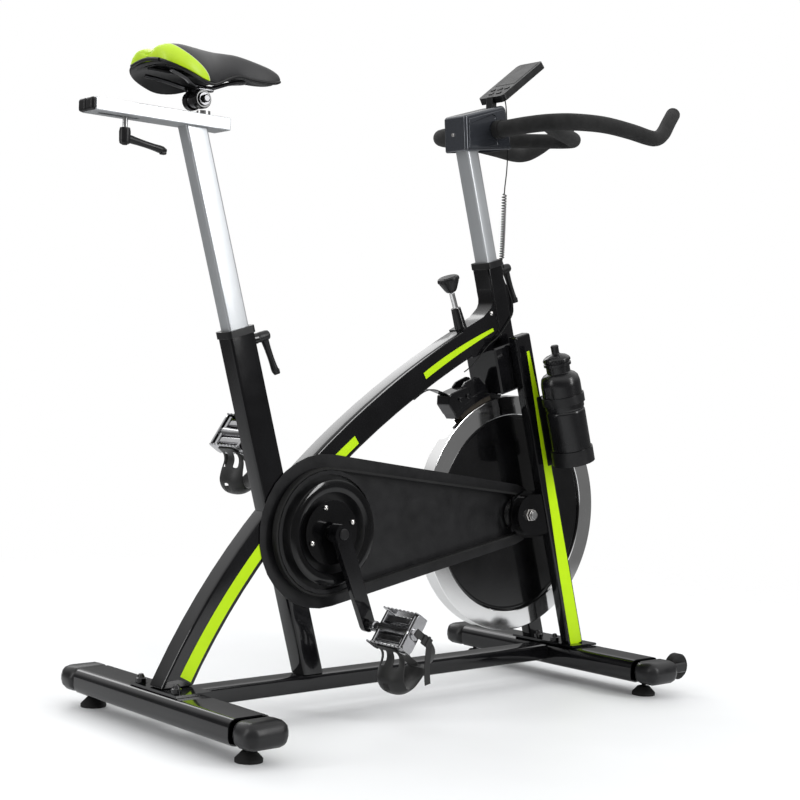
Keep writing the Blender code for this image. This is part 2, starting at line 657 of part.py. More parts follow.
def pedal_spot(hand):
    up = 1 if hand == LEFT else -1
    return (CRANK_AT[0] - up * CRANK_LENGTH * math.sin(CRANK_ANGLE),
            CRANK_AT[1] + up * CRANK_LENGTH * math.cos(CRANK_ANGLE))


def pedal_frame(hand):
    """Frame of a pedal: X to the toe, Y along the spindle, Z to the foot's side."""
    ahead, up = pedal_spot(hand)
    return Matrix.Translation(spot(ahead, hand * PEDAL_SIDE, up)) @ Matrix.Rotation(PEDAL_TOE_ANGLE, 4, "Y")


def pedal(name, hand):
    frame = pedal_frame(hand)
    obj = box(name, (0.064, 0.086, 0.022), frame, ALLOY, 0.003)
    for i, ahead in enumerate((-0.019, 0.019)):
        window = box("window_%d_%s" % (i, name), (0.016, 0.056, 0.05), frame @ Matrix.Translation((ahead, 0, 0)),
                     None, 0, 1, cutters)
        combine(obj, window)
    spindle = cylinder("spindle_" + name, 0.0062, 0.050,
                       frame @ Matrix.Translation((0, -hand * 0.060, 0)) @ Matrix.Rotation(math.radians(90), 4, "X"),
                       None, 16, None, cutters)
    return join(obj, spindle)


def toe_clip(name, hand):
    """Toe clip: a cupped plate from the pedal's toe edge, over the shoe and back."""
    frame = pedal_frame(hand)
    path = [(0.036, -0.006), (0.036, 0.012), (0.052, 0.022), (0.074, 0.026), (0.088, 0.038), (0.090, 0.054),
            (0.078, 0.068), (0.056, 0.076), (0.030, 0.078)]
    thickness = 0.0016
    inner = []
    outer = []
    for i, point in enumerate(path):
        before = Vector(path[max(i - 1, 0)])
        after = Vector(path[min(i + 1, len(path) - 1)])
        normal = Vector((after.y - before.y, before.x - after.x)).normalized()
        inner.append(tuple(Vector(point) - normal * thickness))
        outer.append(tuple(Vector(point) + normal * thickness))
    turn = Matrix.Rotation(math.radians(90), 4, "X")
    return outline(name, [outer + inner[::-1]], 0.058, frame @ turn, BLACK_PLASTIC)


def flywheel():
    """Solid steel flywheel with a thick polished rim and a thin painted web."""
    rim = FLYWHEEL_RADIUS
    half = FLYWHEEL_HALF_THICKNESS
    web = 0.008
    ring = FLYWHEEL_DISC_RADIUS
    hub = 0.026
    bore = 0.0083
    face = [(bore, 0.0225), (hub, 0.0225), (hub, web), (ring - 0.003, web), (ring, half), (rim - 0.0015, half),
            (rim, half - 0.0015)]
    profile = face + [(r, -z) for r, z in reversed(face)]
    return turned("flywheel", profile, cross(*FLYWHEEL_AT), CHROME, 48, closed=True)


def flywheel_pulley():
    half = BELT_WIDTH / 2 + 0.001
    bore = 0.0083
    edge = 0.0012
    profile = [(bore, half), (FLY_PULLEY_RADIUS - edge, half), (FLY_PULLEY_RADIUS, half - edge),
               (FLY_PULLEY_RADIUS, -half + edge), (FLY_PULLEY_RADIUS - edge, -half), (bore, -half)]
    matrix = cross(*FLYWHEEL_AT, BELT_SIDE)
    return turned("flywheel_pulley", profile, matrix, STEEL, 22, closed=True)


def drive_belt():
    side = BELT_SIDE
    gap = 0.0004
    outer = hull_of_circles(CRANK_AT, CRANK_PULLEY_RADIUS + gap + BELT_THICKNESS, FLYWHEEL_AT,
                            FLY_PULLEY_RADIUS + gap + BELT_THICKNESS, 14)
    inner = hull_of_circles(CRANK_AT, CRANK_PULLEY_RADIUS + gap, FLYWHEEL_AT, FLY_PULLEY_RADIUS + gap, 14)
    return outline("drive_belt", [outer, inner], BELT_WIDTH, side_plane(side), RUBBER)


def flywheel_axle():
    """Fixed axle with a nut outside each dropout."""
    bore = 0.0080
    nut_in = 0.0465
    nut_out = 0.0560
    ends = 0.072
    profile = [(0.0, ends), (bore - 0.001, ends), (bore, ends - 0.001), (bore, nut_out), (0.0135, nut_out),
               (0.0135, nut_in), (bore, nut_in), (bore, -nut_in), (0.0135, -nut_in), (0.0135, -nut_out),
               (bore, -nut_out), (bore, -ends + 0.001), (bore - 0.001, -ends), (0.0, -ends)]
    return turned("flywheel_axle", profile, cross(*FLYWHEEL_AT), STEEL, 16)


# ---------------------------------------------------------------- saddle
def seat_post():
    length = 0.46
    obj = box("seat_post", (*POST_SIZE, length), lean_matrix(SEAT_TOP, length / 2 - POST_INSERT), SILVER_TUBE, 0.004)
    inside = (POST_SIZE[0] - 2 * WALL, POST_SIZE[1] - 2 * WALL, length)
    hollow = box("inside_post", inside, lean_matrix(SEAT_TOP, 0.312 - length / 2), None, 0, 1, cutters)
    combine(obj, hollow)
    top = box("seat_post_top", (0.3, 0.2, 0.2), Matrix.Translation(spot(0.02, 0, SEAT_RAIL_BOTTOM - GAP + 0.1)),
              None, 0, 1, cutters)
    return combine(obj, top)


def seat_rail():
    """Horizontal rail on top of the seat post, slotted above and below."""
    length = RAIL_FRONT - RAIL_REAR
    height = SEAT_RAIL_TOP - SEAT_RAIL_BOTTOM
    middle = (SEAT_RAIL_TOP + SEAT_RAIL_BOTTOM) / 2
    center = (RAIL_FRONT + RAIL_REAR) / 2
    obj = box("seat_rail", (length, SEAT_RAIL_WIDTH, height), Matrix.Translation(spot(center, 0, middle)),
              SILVER_TUBE, 0.002)
    size = (length - 2 * WALL, SEAT_RAIL_WIDTH - 2 * WALL, height - 2 * WALL)
    combine(obj, box("rail_hollow", size, Matrix.Translation(spot(center, 0, middle)), None, 0, 1, cutters))
    upper = Matrix.Translation(spot(STUB_FORWARD - 0.0125, 0, SEAT_RAIL_TOP))
    combine(obj, box("upper_slot", (0.081, 0.024, 0.012), upper, None, 0, 1, cutters))
    lower = Matrix.Translation(spot(SEAT_LEVER_FORWARD - 0.0125, 0, SEAT_RAIL_BOTTOM))
    return combine(obj, box("lower_slot", (0.070, 0.012, 0.012), lower, None, 0, 1, cutters))


def seat_carriage():
    """Sliding bar inside the seat rail, with the saddle stub and the clamp screw."""
    rear = -0.123
    front = 0.0545
    height = SEAT_RAIL_TOP - SEAT_RAIL_BOTTOM - 2 * WALL - 0.001
    middle = (SEAT_RAIL_TOP + SEAT_RAIL_BOTTOM) / 2
    matrix = Matrix.Translation(spot((rear + front) / 2, 0, middle))
    obj = box("seat_carriage", (front - rear, SEAT_RAIL_WIDTH - 2 * WALL - 0.001, height), matrix, STEEL)
    stub_top = SADDLE_PIVOT[1] - CLAMP_RADIUS - 0.0005
    stub_length = stub_top - middle
    stub_matrix = Matrix.Translation(spot(STUB_FORWARD, 0, middle + stub_length / 2))
    join(obj, cylinder("saddle_stub", 0.011, stub_length, stub_matrix, None, 24, None, cutters))
    screw_bottom = SEAT_RAIL_BOTTOM - 0.016
    screw_length = middle - screw_bottom
    screw_matrix = Matrix.Translation(spot(SEAT_LEVER_FORWARD, 0, screw_bottom + screw_length / 2))
    return join(obj, cylinder("carriage_screw", 0.004, screw_length, screw_matrix, None, 14, None, cutters))


def ratchet_lever(name, matrix, reach, drop):
    """Indexing clamp lever: hub along the matrix's Z, arm towards its X."""
    obj = cylinder(name, 0.0085, 0.022, matrix @ Matrix.Translation((0, 0, 0.011)), BLACK_PLASTIC, 20, 0.0075)
    arm_turn = Matrix.Rotation(math.atan2(reach, drop), 4, "Y")
    arm_length = math.hypot(reach, drop)
    arm = cylinder("arm_" + name, 0.0060, arm_length,
                   matrix @ Matrix.Translation((0, 0, 0.014)) @ arm_turn @ Matrix.Translation((0, 0, arm_length / 2)),
                   None, 12, 0.0048, cutters)
    join(obj, arm)
    tip = matrix @ Matrix.Translation((0, 0, 0.014)) @ arm_turn @ Matrix.Translation((0, 0, arm_length))
    knob = cylinder("tip_" + name, 0.0062, 0.012, tip, None, 12, 0.0050, cutters)
    return join(obj, knob)


def seat_rail_lever():
    """Lever under the seat rail, on the carriage's clamp screw."""
    turn = Matrix.Rotation(math.radians(180), 4, "X")
    where = Matrix.Translation(spot(SEAT_LEVER_FORWARD, 0, SEAT_RAIL_BOTTOM - 0.0165))
    return ratchet_lever("seat_rail_lever", where @ turn, 0.072, 0.012)


def tube_lever(name, top, along, across):
    """Lever on the front of a leaning tube, its arm hanging down."""
    turn = Matrix.Rotation(math.radians(90), 4, "Y")
    where = lean_matrix(top, along, across)
    return ratchet_lever(name, where @ turn, 0.066, 0.010)


def saddle_clamp():
    """Barrel clamp on the stub, its bolt lying across the bike."""
    half = 0.021
    edge = CLAMP_RADIUS - 0.0015
    waist = CLAMP_RADIUS - 0.0025
    profile = [(0.0, half + 0.006), (0.0055, half + 0.006), (0.0055, half), (edge, half), (CLAMP_RADIUS, half - 0.002),
               (CLAMP_RADIUS, 0.009), (waist, 0.007), (waist, -0.007), (CLAMP_RADIUS, -0.009),
               (CLAMP_RADIUS, -half + 0.002), (edge, -half), (0.0055, -half), (0.0055, -half - 0.006),
               (0.0, -half - 0.006)]
    return turned("saddle_clamp", profile, cross(*SADDLE_PIVOT), BLACK_PAINT, 20)


def saddle_rails():
    """One bent wire: two rails from the saddle's tail, over the clamp, to the nose."""
    radius = 0.0035
    over = SADDLE_PIVOT[1] + CLAMP_RADIUS + radius + GAP
    half = 0.0150
    side = [(-0.050, 0.038, 1.0352), (-0.020, 0.028, 1.0305), (0.002, 0.0165, over + 0.0015), (0.014, half, over),
            (0.040, half, over), (0.066, 0.0145, 1.0320), (0.090, 0.0125, 1.0400), (0.104, 0.0095, 1.0425),
            (0.110, 0.004, 1.0430)]
    near = [spot(a, -b, c) for a, b, c in side]
    far = [spot(a, b, c) for a, b, c in reversed(side)]
    return tube("saddle_rails", smooth_route(near + far, 30), radius, STEEL, 1)


def saddle_loft(name, mat, stations, section):
    """Loft the rings that section gives at each station along the saddle."""
    bm = bmesh.new()
    rings = []
    for station in stations:
        rings.append([bm.verts.new(spot(station[0], y, z)) for y, z in section(station)])
    for ring, after in zip(rings, rings[1:]):
        count = len(ring)
        for j in range(count):
            bm.faces.new((ring[j], ring[(j + 1) % count], after[(j + 1) % count], after[j]))
    bm.faces.new(rings[0])
    bm.faces.new(rings[-1])
    bmesh.ops.recalc_face_normals(bm, faces=bm.faces)
    return from_bmesh(name, bm, mat, Matrix.Identity(4))


def saddle_under(station, share):
    """Height of the pad's arched underside at a share of its half width."""
    _, half, top, edge = station
    middle = max(edge + 0.0040, top - 0.0260)
    knee = middle - (middle - edge) * 0.35
    if share < 0.6:
        return middle + (knee - middle) * share / 0.6
    return knee + (edge - knee) * (share - 0.6) / 0.36


def pad_section(station):
    _, half, top, edge = station
    side = [(half * 0.6, saddle_under(station, 0.6)), (half * 0.96, edge), (half, edge + (top - edge) * 0.35),
            (half * 0.90, top - (top - edge) * 0.22), (half * 0.55, top)]
    groove = 0.0040 * half / 0.0775
    return [(-y, z) for y, z in side] + [(0.0, top - groove)] + side[::-1] + [(0.0, saddle_under(station, 0.0))]


def base_section(station):
    half = station[1]
    upper = [(half * share, saddle_under(station, share) - SADDLE_BASE_GAP) for share in (0.0, 0.6, 0.9)]
    lower = [(y, z - SADDLE_BASE_THICKNESS) for y, z in upper]
    over = [(-y, z) for y, z in upper[:0:-1]] + upper
    return over + lower[::-1] + [(-y, z) for y, z in lower[1:]]


def saddle_pad():
    return saddle_loft("saddle_pad", LEATHER, SADDLE_STATIONS, pad_section)


def saddle_base():
    return saddle_loft("saddle_base", BLACK_PLASTIC, SADDLE_STATIONS[1:-1], base_section)


# ---------------------------------------------------------------- handlebar
def handlebar_post():
    """Post with the bar's clamp block on top."""
    length = 0.300
    bottom = -0.085
    obj = box("handlebar_post", (*BAR_POST_SIZE, length), lean_matrix(HEAD_TOP, bottom + length / 2), SILVER_TUBE, 0.004)
    inside = (BAR_POST_SIZE[0] - 2 * WALL, BAR_POST_SIZE[1] - 2 * WALL, length)
    combine(obj, box("inside_bar_post", inside, lean_matrix(HEAD_TOP, 0.190 - length / 2), None, 0, 1, cutters))
    block = hull_of_circles((0.6180, 1.010), 0.0185, BAR_AT, 0.0190, 8)
    join(obj, outline("bar_block", [block], 0.036, side_plane(0.0), None, 0, cutters))
    return combine(obj, cylinder("bar_block_bore", BAR_RADIUS + 0.0005, 0.2, cross(*BAR_AT), None, 28, None, cutters))


def stem_cover():
    """Moulded cover over the bar clamp, open underneath."""
    obj = outline("stem_cover", [STEM_LOOP], STEM_WIDTH, side_plane(0.0), GREY_PLASTIC, 0.006)
    inside = [(0.5850, 1.0500), (0.5905, 0.970), (0.7000, 0.985), (0.6815, 1.0760), (0.6755, 1.0805)]
    combine(obj, outline("stem_inside", [inside], STEM_WIDTH - 0.007, side_plane(0.0), None, 0, cutters))
    return combine(obj, cylinder("stem_bar_hole", BAR_RADIUS + 0.0006, 0.2, cross(*BAR_AT), None, 28, None, cutters))


def handlebar():
    """Bent bar in foam: across the stem, forward horns with raised tips, and a pointed loop between them."""
    half_route = [(BAR_AT[0], 0.0, BAR_AT[1]), (BAR_AT[0], 0.060, BAR_AT[1]), (0.665, 0.105, 1.0385),
                  (0.682, 0.145, 1.0410), (0.722, 0.168, 1.0445), (0.790, 0.177, 1.0475), (0.860, 0.179, 1.0445),
                  (0.915, 0.178, 1.0400), (0.945, 0.174, 1.0430), (0.972, 0.166, 1.0570), (1.002, 0.153, 1.0810),
                  (1.033, 0.138, 1.1030)]
    left = [spot(a, b, c) for a, b, c in half_route]
    right = [spot(a, -b, c) for a, b, c in half_route[1:]]
    obj = tube("handlebar", smooth_route(right[::-1] + left, 45), BAR_RADIUS, FOAM, 2)
    loop = [(0.6800, 0.1385, 1.0400), (0.7390, 0.1034, 1.0395), (0.8080, 0.0620, 1.0430), (0.8640, 0.0285, 1.0462),
            (0.8870, 0.0130, 1.0476), (0.8940, 0.0, 1.0480)]
    ahead = [spot(a, b, c) for a, b, c in loop]
    back = [spot(a, -b, c) for a, b, c in loop[:-1]]
    return join(obj, tube("handlebar_loop", smooth_route(ahead + back[::-1], 31), BAR_LOOP_RADIUS, None, 2))


def console():
    """Computer on its bracket, its face towards the rider."""
    tilt = Matrix.Rotation(-CONSOLE_TILT, 4, "Y")
    length, width, depth = CONSOLE_SIZE
    corner = Matrix.Translation(spot(CONSOLE_LOW[0], 0, CONSOLE_LOW[1]))
    obj = box("console", (length, width, depth), corner @ tilt @ Matrix.Translation((length / 2, 0, -depth / 2)),
              GREY_PLASTIC, 0.003)
    foot = box("console_foot", (0.012, 0.018, 0.030), Matrix.Translation(spot(0.6725, 0, 1.0945)), None, 0, 1, cutters)
    join(obj, foot)
    return combine(obj, outline("console_clear", [STEM_CLEAR], 0.12, side_plane(0.0), None, 0, cutters))


# ---------------------------------------------------------------- brake and knob
def tension_rod():
    """Push rod through the main tube, sprung upwards."""
    length = 0.124
    return cylinder("tension_rod", 0.0050, length, knob_frame(0.062 - length / 2), ALLOY, 16)


def tension_knob():
    """Conical knob on the rod: turned for resistance, pressed to stop."""
    profile = [(0.0, 0.024), (0.0205, 0.024), (0.0225, 0.021), (0.0225, 0.014), (0.0120, -0.010), (0.0090, -0.013),
               (0.0, -0.013)]
    return turned("tension_knob", profile, knob_frame(0.0625 + 0.013), BLACK_PLASTIC, 22)


def pad_arc(radius, start, stop, count):
    return arc(FLYWHEEL_AT, radius, start, stop, count)


def brake_arm():
    """Leaf spring from under the main tube to the pad holder over the flywheel."""
    holder = pad_arc(0.2480, 108, 127, 7) + pad_arc(0.2325, 127, 108, 7)
    obj = outline("brake_arm", [holder], 0.030, side_plane(0.0), BLACK_PAINT)
    leaf_from = Vector((BRAKE_PIVOT[0] - 0.004, BRAKE_PIVOT[1] - 0.0045))
    leaf_to = Vector(pad_arc(0.243, 125, 125.1, 2)[0])
    run = (leaf_to - leaf_from).normalized()
    up = Vector((-run.y, run.x)) * 0.0009
    leaf = [tuple(leaf_from - up), tuple(leaf_to - up), tuple(leaf_to + up), tuple(leaf_from + up)]
    join(obj, outline("brake_leaf", [leaf], 0.022, side_plane(0.0), None, 0, cutters))
    return obj


def brake_pad():
    felt = pad_arc(0.2320, 107.5, 128, 8) + pad_arc(0.2240, 128, 107.5, 8)
    return outline("brake_pad", [felt], 0.026, side_plane(0.0), RUBBER)


# ---------------------------------------------------------------- bottle
def bottle_frame(along):
    return lean_matrix(HEAD_TOP, along, BOTTLE_ACROSS, BOTTLE_SIDE)


def bottle():
    height = BOTTLE_SHOULDER - BOTTLE_BOTTOM
    r = BOTTLE_RADIUS
    profile = [(0.0, height + 0.026), (0.0225, height + 0.026), (0.0225, height + 0.014), (r * 0.93, height + 0.006),
               (r, height - 0.006), (r, height * 0.63), (r - 0.0025, height * 0.61), (r - 0.0025, height * 0.55),
               (r, height * 0.53), (r, 0.006), (r - 0.006, 0.0), (0.0, 0.0)]
    return turned("bottle", profile, bottle_frame(BOTTLE_BOTTOM), BLACK_PLASTIC, 20)


def bottle_cap():
    base = BOTTLE_SHOULDER + 0.026 + GAP
    profile = [(0.0, 0.038), (0.0075, 0.038), (0.0085, 0.022), (0.0120, 0.020), (0.0255, 0.012), (0.0255, 0.0),
               (0.0, 0.0)]
    return turned("bottle_cap", profile, bottle_frame(base), BLACK_PLASTIC, 18)


def bottle_cage():
    """Plastic holder on the right fork leg: back strip, ring and bottom cup."""
    leg_face = -(FORK_SIDE + FORK_LEG_SIZE[1] / 2) - GAP
    low = BOTTLE_BOTTOM - 0.006
    high = BOTTLE_SHOULDER - 0.030
    strip_matrix = lean_matrix(HEAD_TOP, (low + high) / 2, 0.020, leg_face - 0.0012)
    obj = box("bottle_cage", (0.028, 0.0024, high - low), strip_matrix, BLACK_PLASTIC)
    inner = BOTTLE_RADIUS + 0.0006
    outer = inner + 0.0026
    for i, (bottom, top) in enumerate(((high - 0.016, high), (low + 0.003, low + 0.030))):
        ring = [(inner, top), (outer, top), (outer, bottom), (inner, bottom)]
        bridge_matrix = lean_matrix(HEAD_TOP, (bottom + top) / 2, 0.024, leg_face - 0.0019)
        join(obj, box("cage_bridge_%d" % i, (0.018, 0.0038, top - bottom - 0.002), bridge_matrix, None, 0, 1, cutters))
        join(obj, turned("cage_ring_%d" % i, ring, bottle_frame(0.0), None, 20, cutters, closed=True))
    floor = [(0.0, low + 0.0055), (outer, low + 0.0055), (outer, low + 0.0025), (0.0, low + 0.0025)]
    return join(obj, turned("cage_floor", floor, bottle_frame(0.0), None, 20, cutters))


# ---------------------------------------------------------------- sensor cable
COIL_TOP_UP = 0.925
COIL_BOTTOM_UP = 0.800


def cable_parts():
    """Thin lead from the console, a curly stretch, and a lead down the head tube."""
    upper = smooth_route([spot(0.6965, -0.0120, 1.1000), spot(0.7005, -0.0120, 1.0860), spot(0.7035, -0.0120, 1.0600),
                          spot(0.7065, -0.0120, 1.0250), spot(0.7085, -0.0120, 0.9950), spot(0.7075, -0.0120, 0.9650),
                          spot(0.7045, -0.0120, 0.9400), spot(0.7035, -0.0120, COIL_TOP_UP + GAP)], 20)
    tube("cable_upper", upper, 0.0009, RUBBER)
    coil = smooth_route([spot(0.7035, -0.0120, COIL_TOP_UP), spot(0.7035, -0.0120, 0.880),
                         spot(0.7030, -0.0120, 0.840), spot(0.7020, -0.0120, COIL_BOTTOM_UP)], 10)
    tube("cable_coil", coil, 0.0045, RUBBER)
    lower = smooth_route([spot(0.7020, -0.0120, COIL_BOTTOM_UP - GAP), spot(0.7045, -0.0145, 0.7900),
                          spot(0.7075, -0.0165, 0.7720), spot(0.7150, -0.0190, 0.7460), spot(0.7235, -0.0215, 0.7220),
                          spot(0.7235, -0.0240, 0.7010), spot(0.7040, -0.0255, 0.6750), spot(0.6850, -0.0255, 0.6550),
                          spot(0.6620, -0.0250, 0.6390), spot(0.6400, -0.0225, 0.6150), spot(0.6220, -0.0215, 0.5980),
                          spot(0.6080, -0.0195, 0.5880)], 40)
    tube("cable_lower", lower, 0.0009, RUBBER)


# ---------------------------------------------------------------- build
def build():
    bpy.context.view_layer.update()
    for name, forward in (("rear", 0.0), ("front", FRONT_FORWARD)):
        stabilizer(name + "_stabilizer", forward)
        for word, hand in (("right", RIGHT), ("left", LEFT)):
            cap = end_cap("%s_end_cap_%s" % (name, word), forward, hand)
            foot = levelling_foot("%s_foot_%s" % (name, word), forward, hand)
            parent_to("%s_foot_%s_axis" % (name, word), spot(forward, hand * FOOT_SIDE, 0.0), [foot])
            if name == "front":
                wheel_lug(cap, hand)
                wheel = transport_wheel("transport_wheel_" + word, hand)
                parent_to("wheel_axis_" + word, spot(WHEEL_FORWARD, hand * WHEEL_SIDE, WHEEL_UP), [wheel])
    mount_plate("rear_mount_plate", 0.006, (0.066, 0.136), ((-0.022, 0.052), (-0.022, -0.052)))
    mount_plate("front_mount_plate", FRONT_FORWARD - 0.004, (0.068, 0.160), ((-0.022, 0.022), (-0.022, -0.022)))
    base_rail()
    main_tube()
    seat_tube()
    seat_strut()
    head_tube()
    fork_leg("fork_leg_right", RIGHT)
    fork_leg("fork_leg_left", LEFT)
    belt_guard_outer()
    belt_guard_inner()
    crank_cover()
    drive_belt()
    flywheel_axle()
    parent_to("crank_axis", spot(CRANK_AT[0], 0, CRANK_AT[1]),
              [crank_axle(), crank_pulley(), crank_arm("crank_arm_right", RIGHT), crank_arm("crank_arm_left", LEFT)])
    for word, hand in (("right", RIGHT), ("left", LEFT)):
        ahead, up = pedal_spot(hand)
        parent_to("pedal_axis_" + word, spot(ahead, hand * PEDAL_SIDE, up),
                  [pedal("pedal_" + word, hand), toe_clip("toe_clip_" + word, hand)])
    parent_to("flywheel_axis", spot(FLYWHEEL_AT[0], 0, FLYWHEEL_AT[1]), [flywheel(), flywheel_pulley()])
    parent_to("seat_post_axis", spot(SEAT_TOP[0], 0, SEAT_TOP[1]), [seat_post(), seat_rail()])
    parent_to("seat_carriage_axis", spot(STUB_FORWARD, 0, SEAT_RAIL_TOP), [seat_carriage()])
    seat_rail_lever()
    parent_to("saddle_axis", spot(SADDLE_PIVOT[0], 0, SADDLE_PIVOT[1]),
              [saddle_clamp(), saddle_rails(), saddle_base(), saddle_pad()])
    tube_lever("seat_post_lever", SEAT_TOP, -0.024, 0.0375)
    tube_lever("head_lever", HEAD_TOP, -0.022, 0.0305)
    parent_to("bar_post_axis", spot(HEAD_TOP[0], 0, HEAD_TOP[1]),
              [handlebar_post(), stem_cover(), handlebar(), console()])
    parent_to("tension_axis", knob_frame(0.0).translation, [tension_rod(), tension_knob()])
    parent_to("brake_axis", spot(BRAKE_PIVOT[0], 0, BRAKE_PIVOT[1]), [brake_arm(), brake_pad()])
    bottle_cage()
    parent_to("bottle_axis", bottle_frame(0.0).translation, [bottle(), bottle_cap()])
    cable_parts()


build()
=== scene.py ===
"""Indoor cycling bike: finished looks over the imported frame.

Units are metres, in the frame's own axes: +X is the bike's front, -Y the belt guard's side, +Z up.
Distances named "forward" are measured from the rear stabilizer's centre line, as in the part's source.
"""

import math

import bmesh
import bpy
from mathutils import Matrix, Vector


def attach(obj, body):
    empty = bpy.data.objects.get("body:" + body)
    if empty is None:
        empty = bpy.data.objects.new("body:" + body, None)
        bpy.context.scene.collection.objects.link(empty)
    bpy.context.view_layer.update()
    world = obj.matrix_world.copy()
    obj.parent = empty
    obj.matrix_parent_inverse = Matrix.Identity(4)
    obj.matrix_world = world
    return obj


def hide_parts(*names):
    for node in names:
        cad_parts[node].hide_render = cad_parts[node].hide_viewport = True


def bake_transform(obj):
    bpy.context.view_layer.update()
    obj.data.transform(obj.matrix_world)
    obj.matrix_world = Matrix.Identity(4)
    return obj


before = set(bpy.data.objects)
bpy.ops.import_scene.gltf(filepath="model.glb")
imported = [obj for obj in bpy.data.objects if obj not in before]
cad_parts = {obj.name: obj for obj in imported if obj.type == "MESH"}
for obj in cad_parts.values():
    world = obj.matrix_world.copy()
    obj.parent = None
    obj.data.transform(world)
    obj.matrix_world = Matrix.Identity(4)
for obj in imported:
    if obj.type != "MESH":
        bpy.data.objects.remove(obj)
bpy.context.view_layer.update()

REAR_X = -0.4356
LEAN = math.radians(16.5)
SEAT_TOP = (0.11, 0.643)
HEAD_TOP = (0.674, 0.794)
CRANK_AT = (0.288, 0.309)
CRANK_LENGTH = 0.17
CRANK_ANGLE = math.radians(22.5)
FLYWHEEL_AT = (0.752, 0.3243)
FLYWHEEL_RADIUS = 0.2225
BAR_AT = (0.662, 1.037)
SADDLE_PIVOT = (0.0225, 1.003)
PEDAL_SIDE = 0.145
PEDAL_TOE_ANGLE = math.radians(124)
KNOB_ENTRY = (0.6118, 0.674)
KNOB_LEAN = math.radians(22)
CONSOLE_LOW = (0.6685, 1.1003)
CONSOLE_TILT = math.radians(37.5)
BOTTLE_ACROSS = 0.033
BOTTLE_SIDE = -0.1055
GUARD_FACE = -0.05
GUARD_RADIUS = 0.132
GUARD_NOSE = (0.745, 0.322)
GUARD_NOSE_RADIUS = 0.058
GUARD_INNER_Z = -0.0282
GUARD_STEP = (0.596, 0.058, 0.0075)
GUARD_WALL = 0.0022
HUB_HOLE_RADIUS = 0.0555
SLOT_RADIUS = 0.038
SLOT_END = 0.786
COVER_SCREW_RADIUS = 0.0456
STRIPE_THICKNESS = 0.0004
SHARP_EDGE = math.radians(32)
WELD_DISTANCE = 0.00001
CAMERA_AT = (-1.3333, -2.0661, 0.5697)
CAMERA_ANGLES = (41.13, -0.749, 1.833)
CAMERA_LENS = 69.24
FLOOR_FADE = (0.75, 2.3)
SKY_RISE = (0.16, 0.62)
SKY_LIGHT = (0.2, 1.25)
RIGHT = -1
LEFT = 1


# ---------------------------------------------------------------- places
def spot(forward, side, up):
    return Vector((REAR_X + forward, side, up))


def mm(*points):
    """The points, given in millimetres."""
    return [tuple(value / 1000 for value in point) for point in points]


def spots(*points):
    """Places given as forward, side and up in millimetres."""
    return [spot(*point) for point in mm(*points)]


def lean_matrix(top, along=0.0, across=0.0, side=0.0):
    turn = Matrix.Rotation(-LEAN, 4, "Y")
    return Matrix.Translation(spot(top[0], 0.0, top[1])) @ turn @ Matrix.Translation((across, side, along))


def cross(forward, up, side=0.0):
    """Frame whose Z axis lies across the bike, towards the belt guard's side."""
    return Matrix.Translation(spot(forward, side, up)) @ Matrix.Rotation(math.radians(90), 4, "X")


def side_plane(side):
    return Matrix.Translation(spot(0.0, side, 0.0)) @ Matrix.Rotation(math.radians(90), 4, "X")


def flipped(hand):
    """Turns a crosswise frame to face out on the given side."""
    return Matrix.Identity(4) if hand == RIGHT else Matrix.Rotation(math.pi, 4, "Y")


def leg_notch():
    """Cutter for the right fork leg's way through the belt guard."""
    return box("leg_cutter", (0.0412, 0.0228, 0.5), lean_matrix(HEAD_TOP, -0.5, 0, -0.052), None, 0.0001, 1)


def post_hole(radius):
    """Cutter for the bar's way through the stem cover."""
    profile = [(0.0, 0.1), (radius, 0.1), (radius, -0.1), (0.0, -0.1)]
    return turned("bar_hole", profile, cross(*BAR_AT), None, 48)


def knob_frame(along):
    turn = Matrix.Rotation(-KNOB_LEAN, 4, "Y")
    return Matrix.Translation(spot(KNOB_ENTRY[0], 0, KNOB_ENTRY[1])) @ turn @ Matrix.Translation((0, 0, along))


# ---------------------------------------------------------------- camera
def add_camera():
    azimuth, pitch, roll = (math.radians(angle) for angle in CAMERA_ANGLES)
    ahead = Vector((math.sin(azimuth) * math.cos(pitch), math.cos(azimuth) * math.cos(pitch), math.sin(pitch)))
    level = Vector((math.cos(azimuth), -math.sin(azimuth), 0.0))
    upward = level.cross(ahead)
    right = level * math.cos(roll) + upward * math.sin(roll)
    up = upward * math.cos(roll) - level * math.sin(roll)
    data = bpy.data.cameras.new("camera")
    data.sensor_width = 36.0
    data.lens = CAMERA_LENS
    data.clip_end = 60.0
    camera = bpy.data.objects.new("camera", data)
    axes = Matrix((right, up, -ahead)).transposed().to_4x4()
    camera.matrix_world = Matrix.Translation(spot(*CAMERA_AT)) @ axes
    bpy.context.scene.collection.objects.link(camera)
    bpy.context.scene.camera = camera


# ---------------------------------------------------------------- materials
def new_material(name):
    made = bpy.data.materials.new(name)
    made.use_nodes = True
    return made, made.node_tree.nodes, made.node_tree.links, made.node_tree.nodes["Principled BSDF"]


def noise_node(nodes, links, scale, detail=3.0, kind="ShaderNodeTexNoise"):
    where = nodes.new("ShaderNodeTexCoord")
    texture = nodes.new(kind)
    texture.inputs["Scale"].default_value = scale
    if kind == "ShaderNodeTexNoise":
        texture.inputs["Detail"].default_value = detail
    links.new(where.outputs["Object"], texture.inputs["Vector"])
    return texture


def color_between(nodes, links, factor, first, second):
    ramp = nodes.new("ShaderNodeValToRGB")
    ramp.color_ramp.elements[0].position = 0.35
    ramp.color_ramp.elements[1].position = 0.7
    ramp.color_ramp.elements[0].color = (*first, 1.0)
    ramp.color_ramp.elements[1].color = (*second, 1.0)
    links.new(factor, ramp.inputs["Fac"])
    return ramp.outputs["Color"]


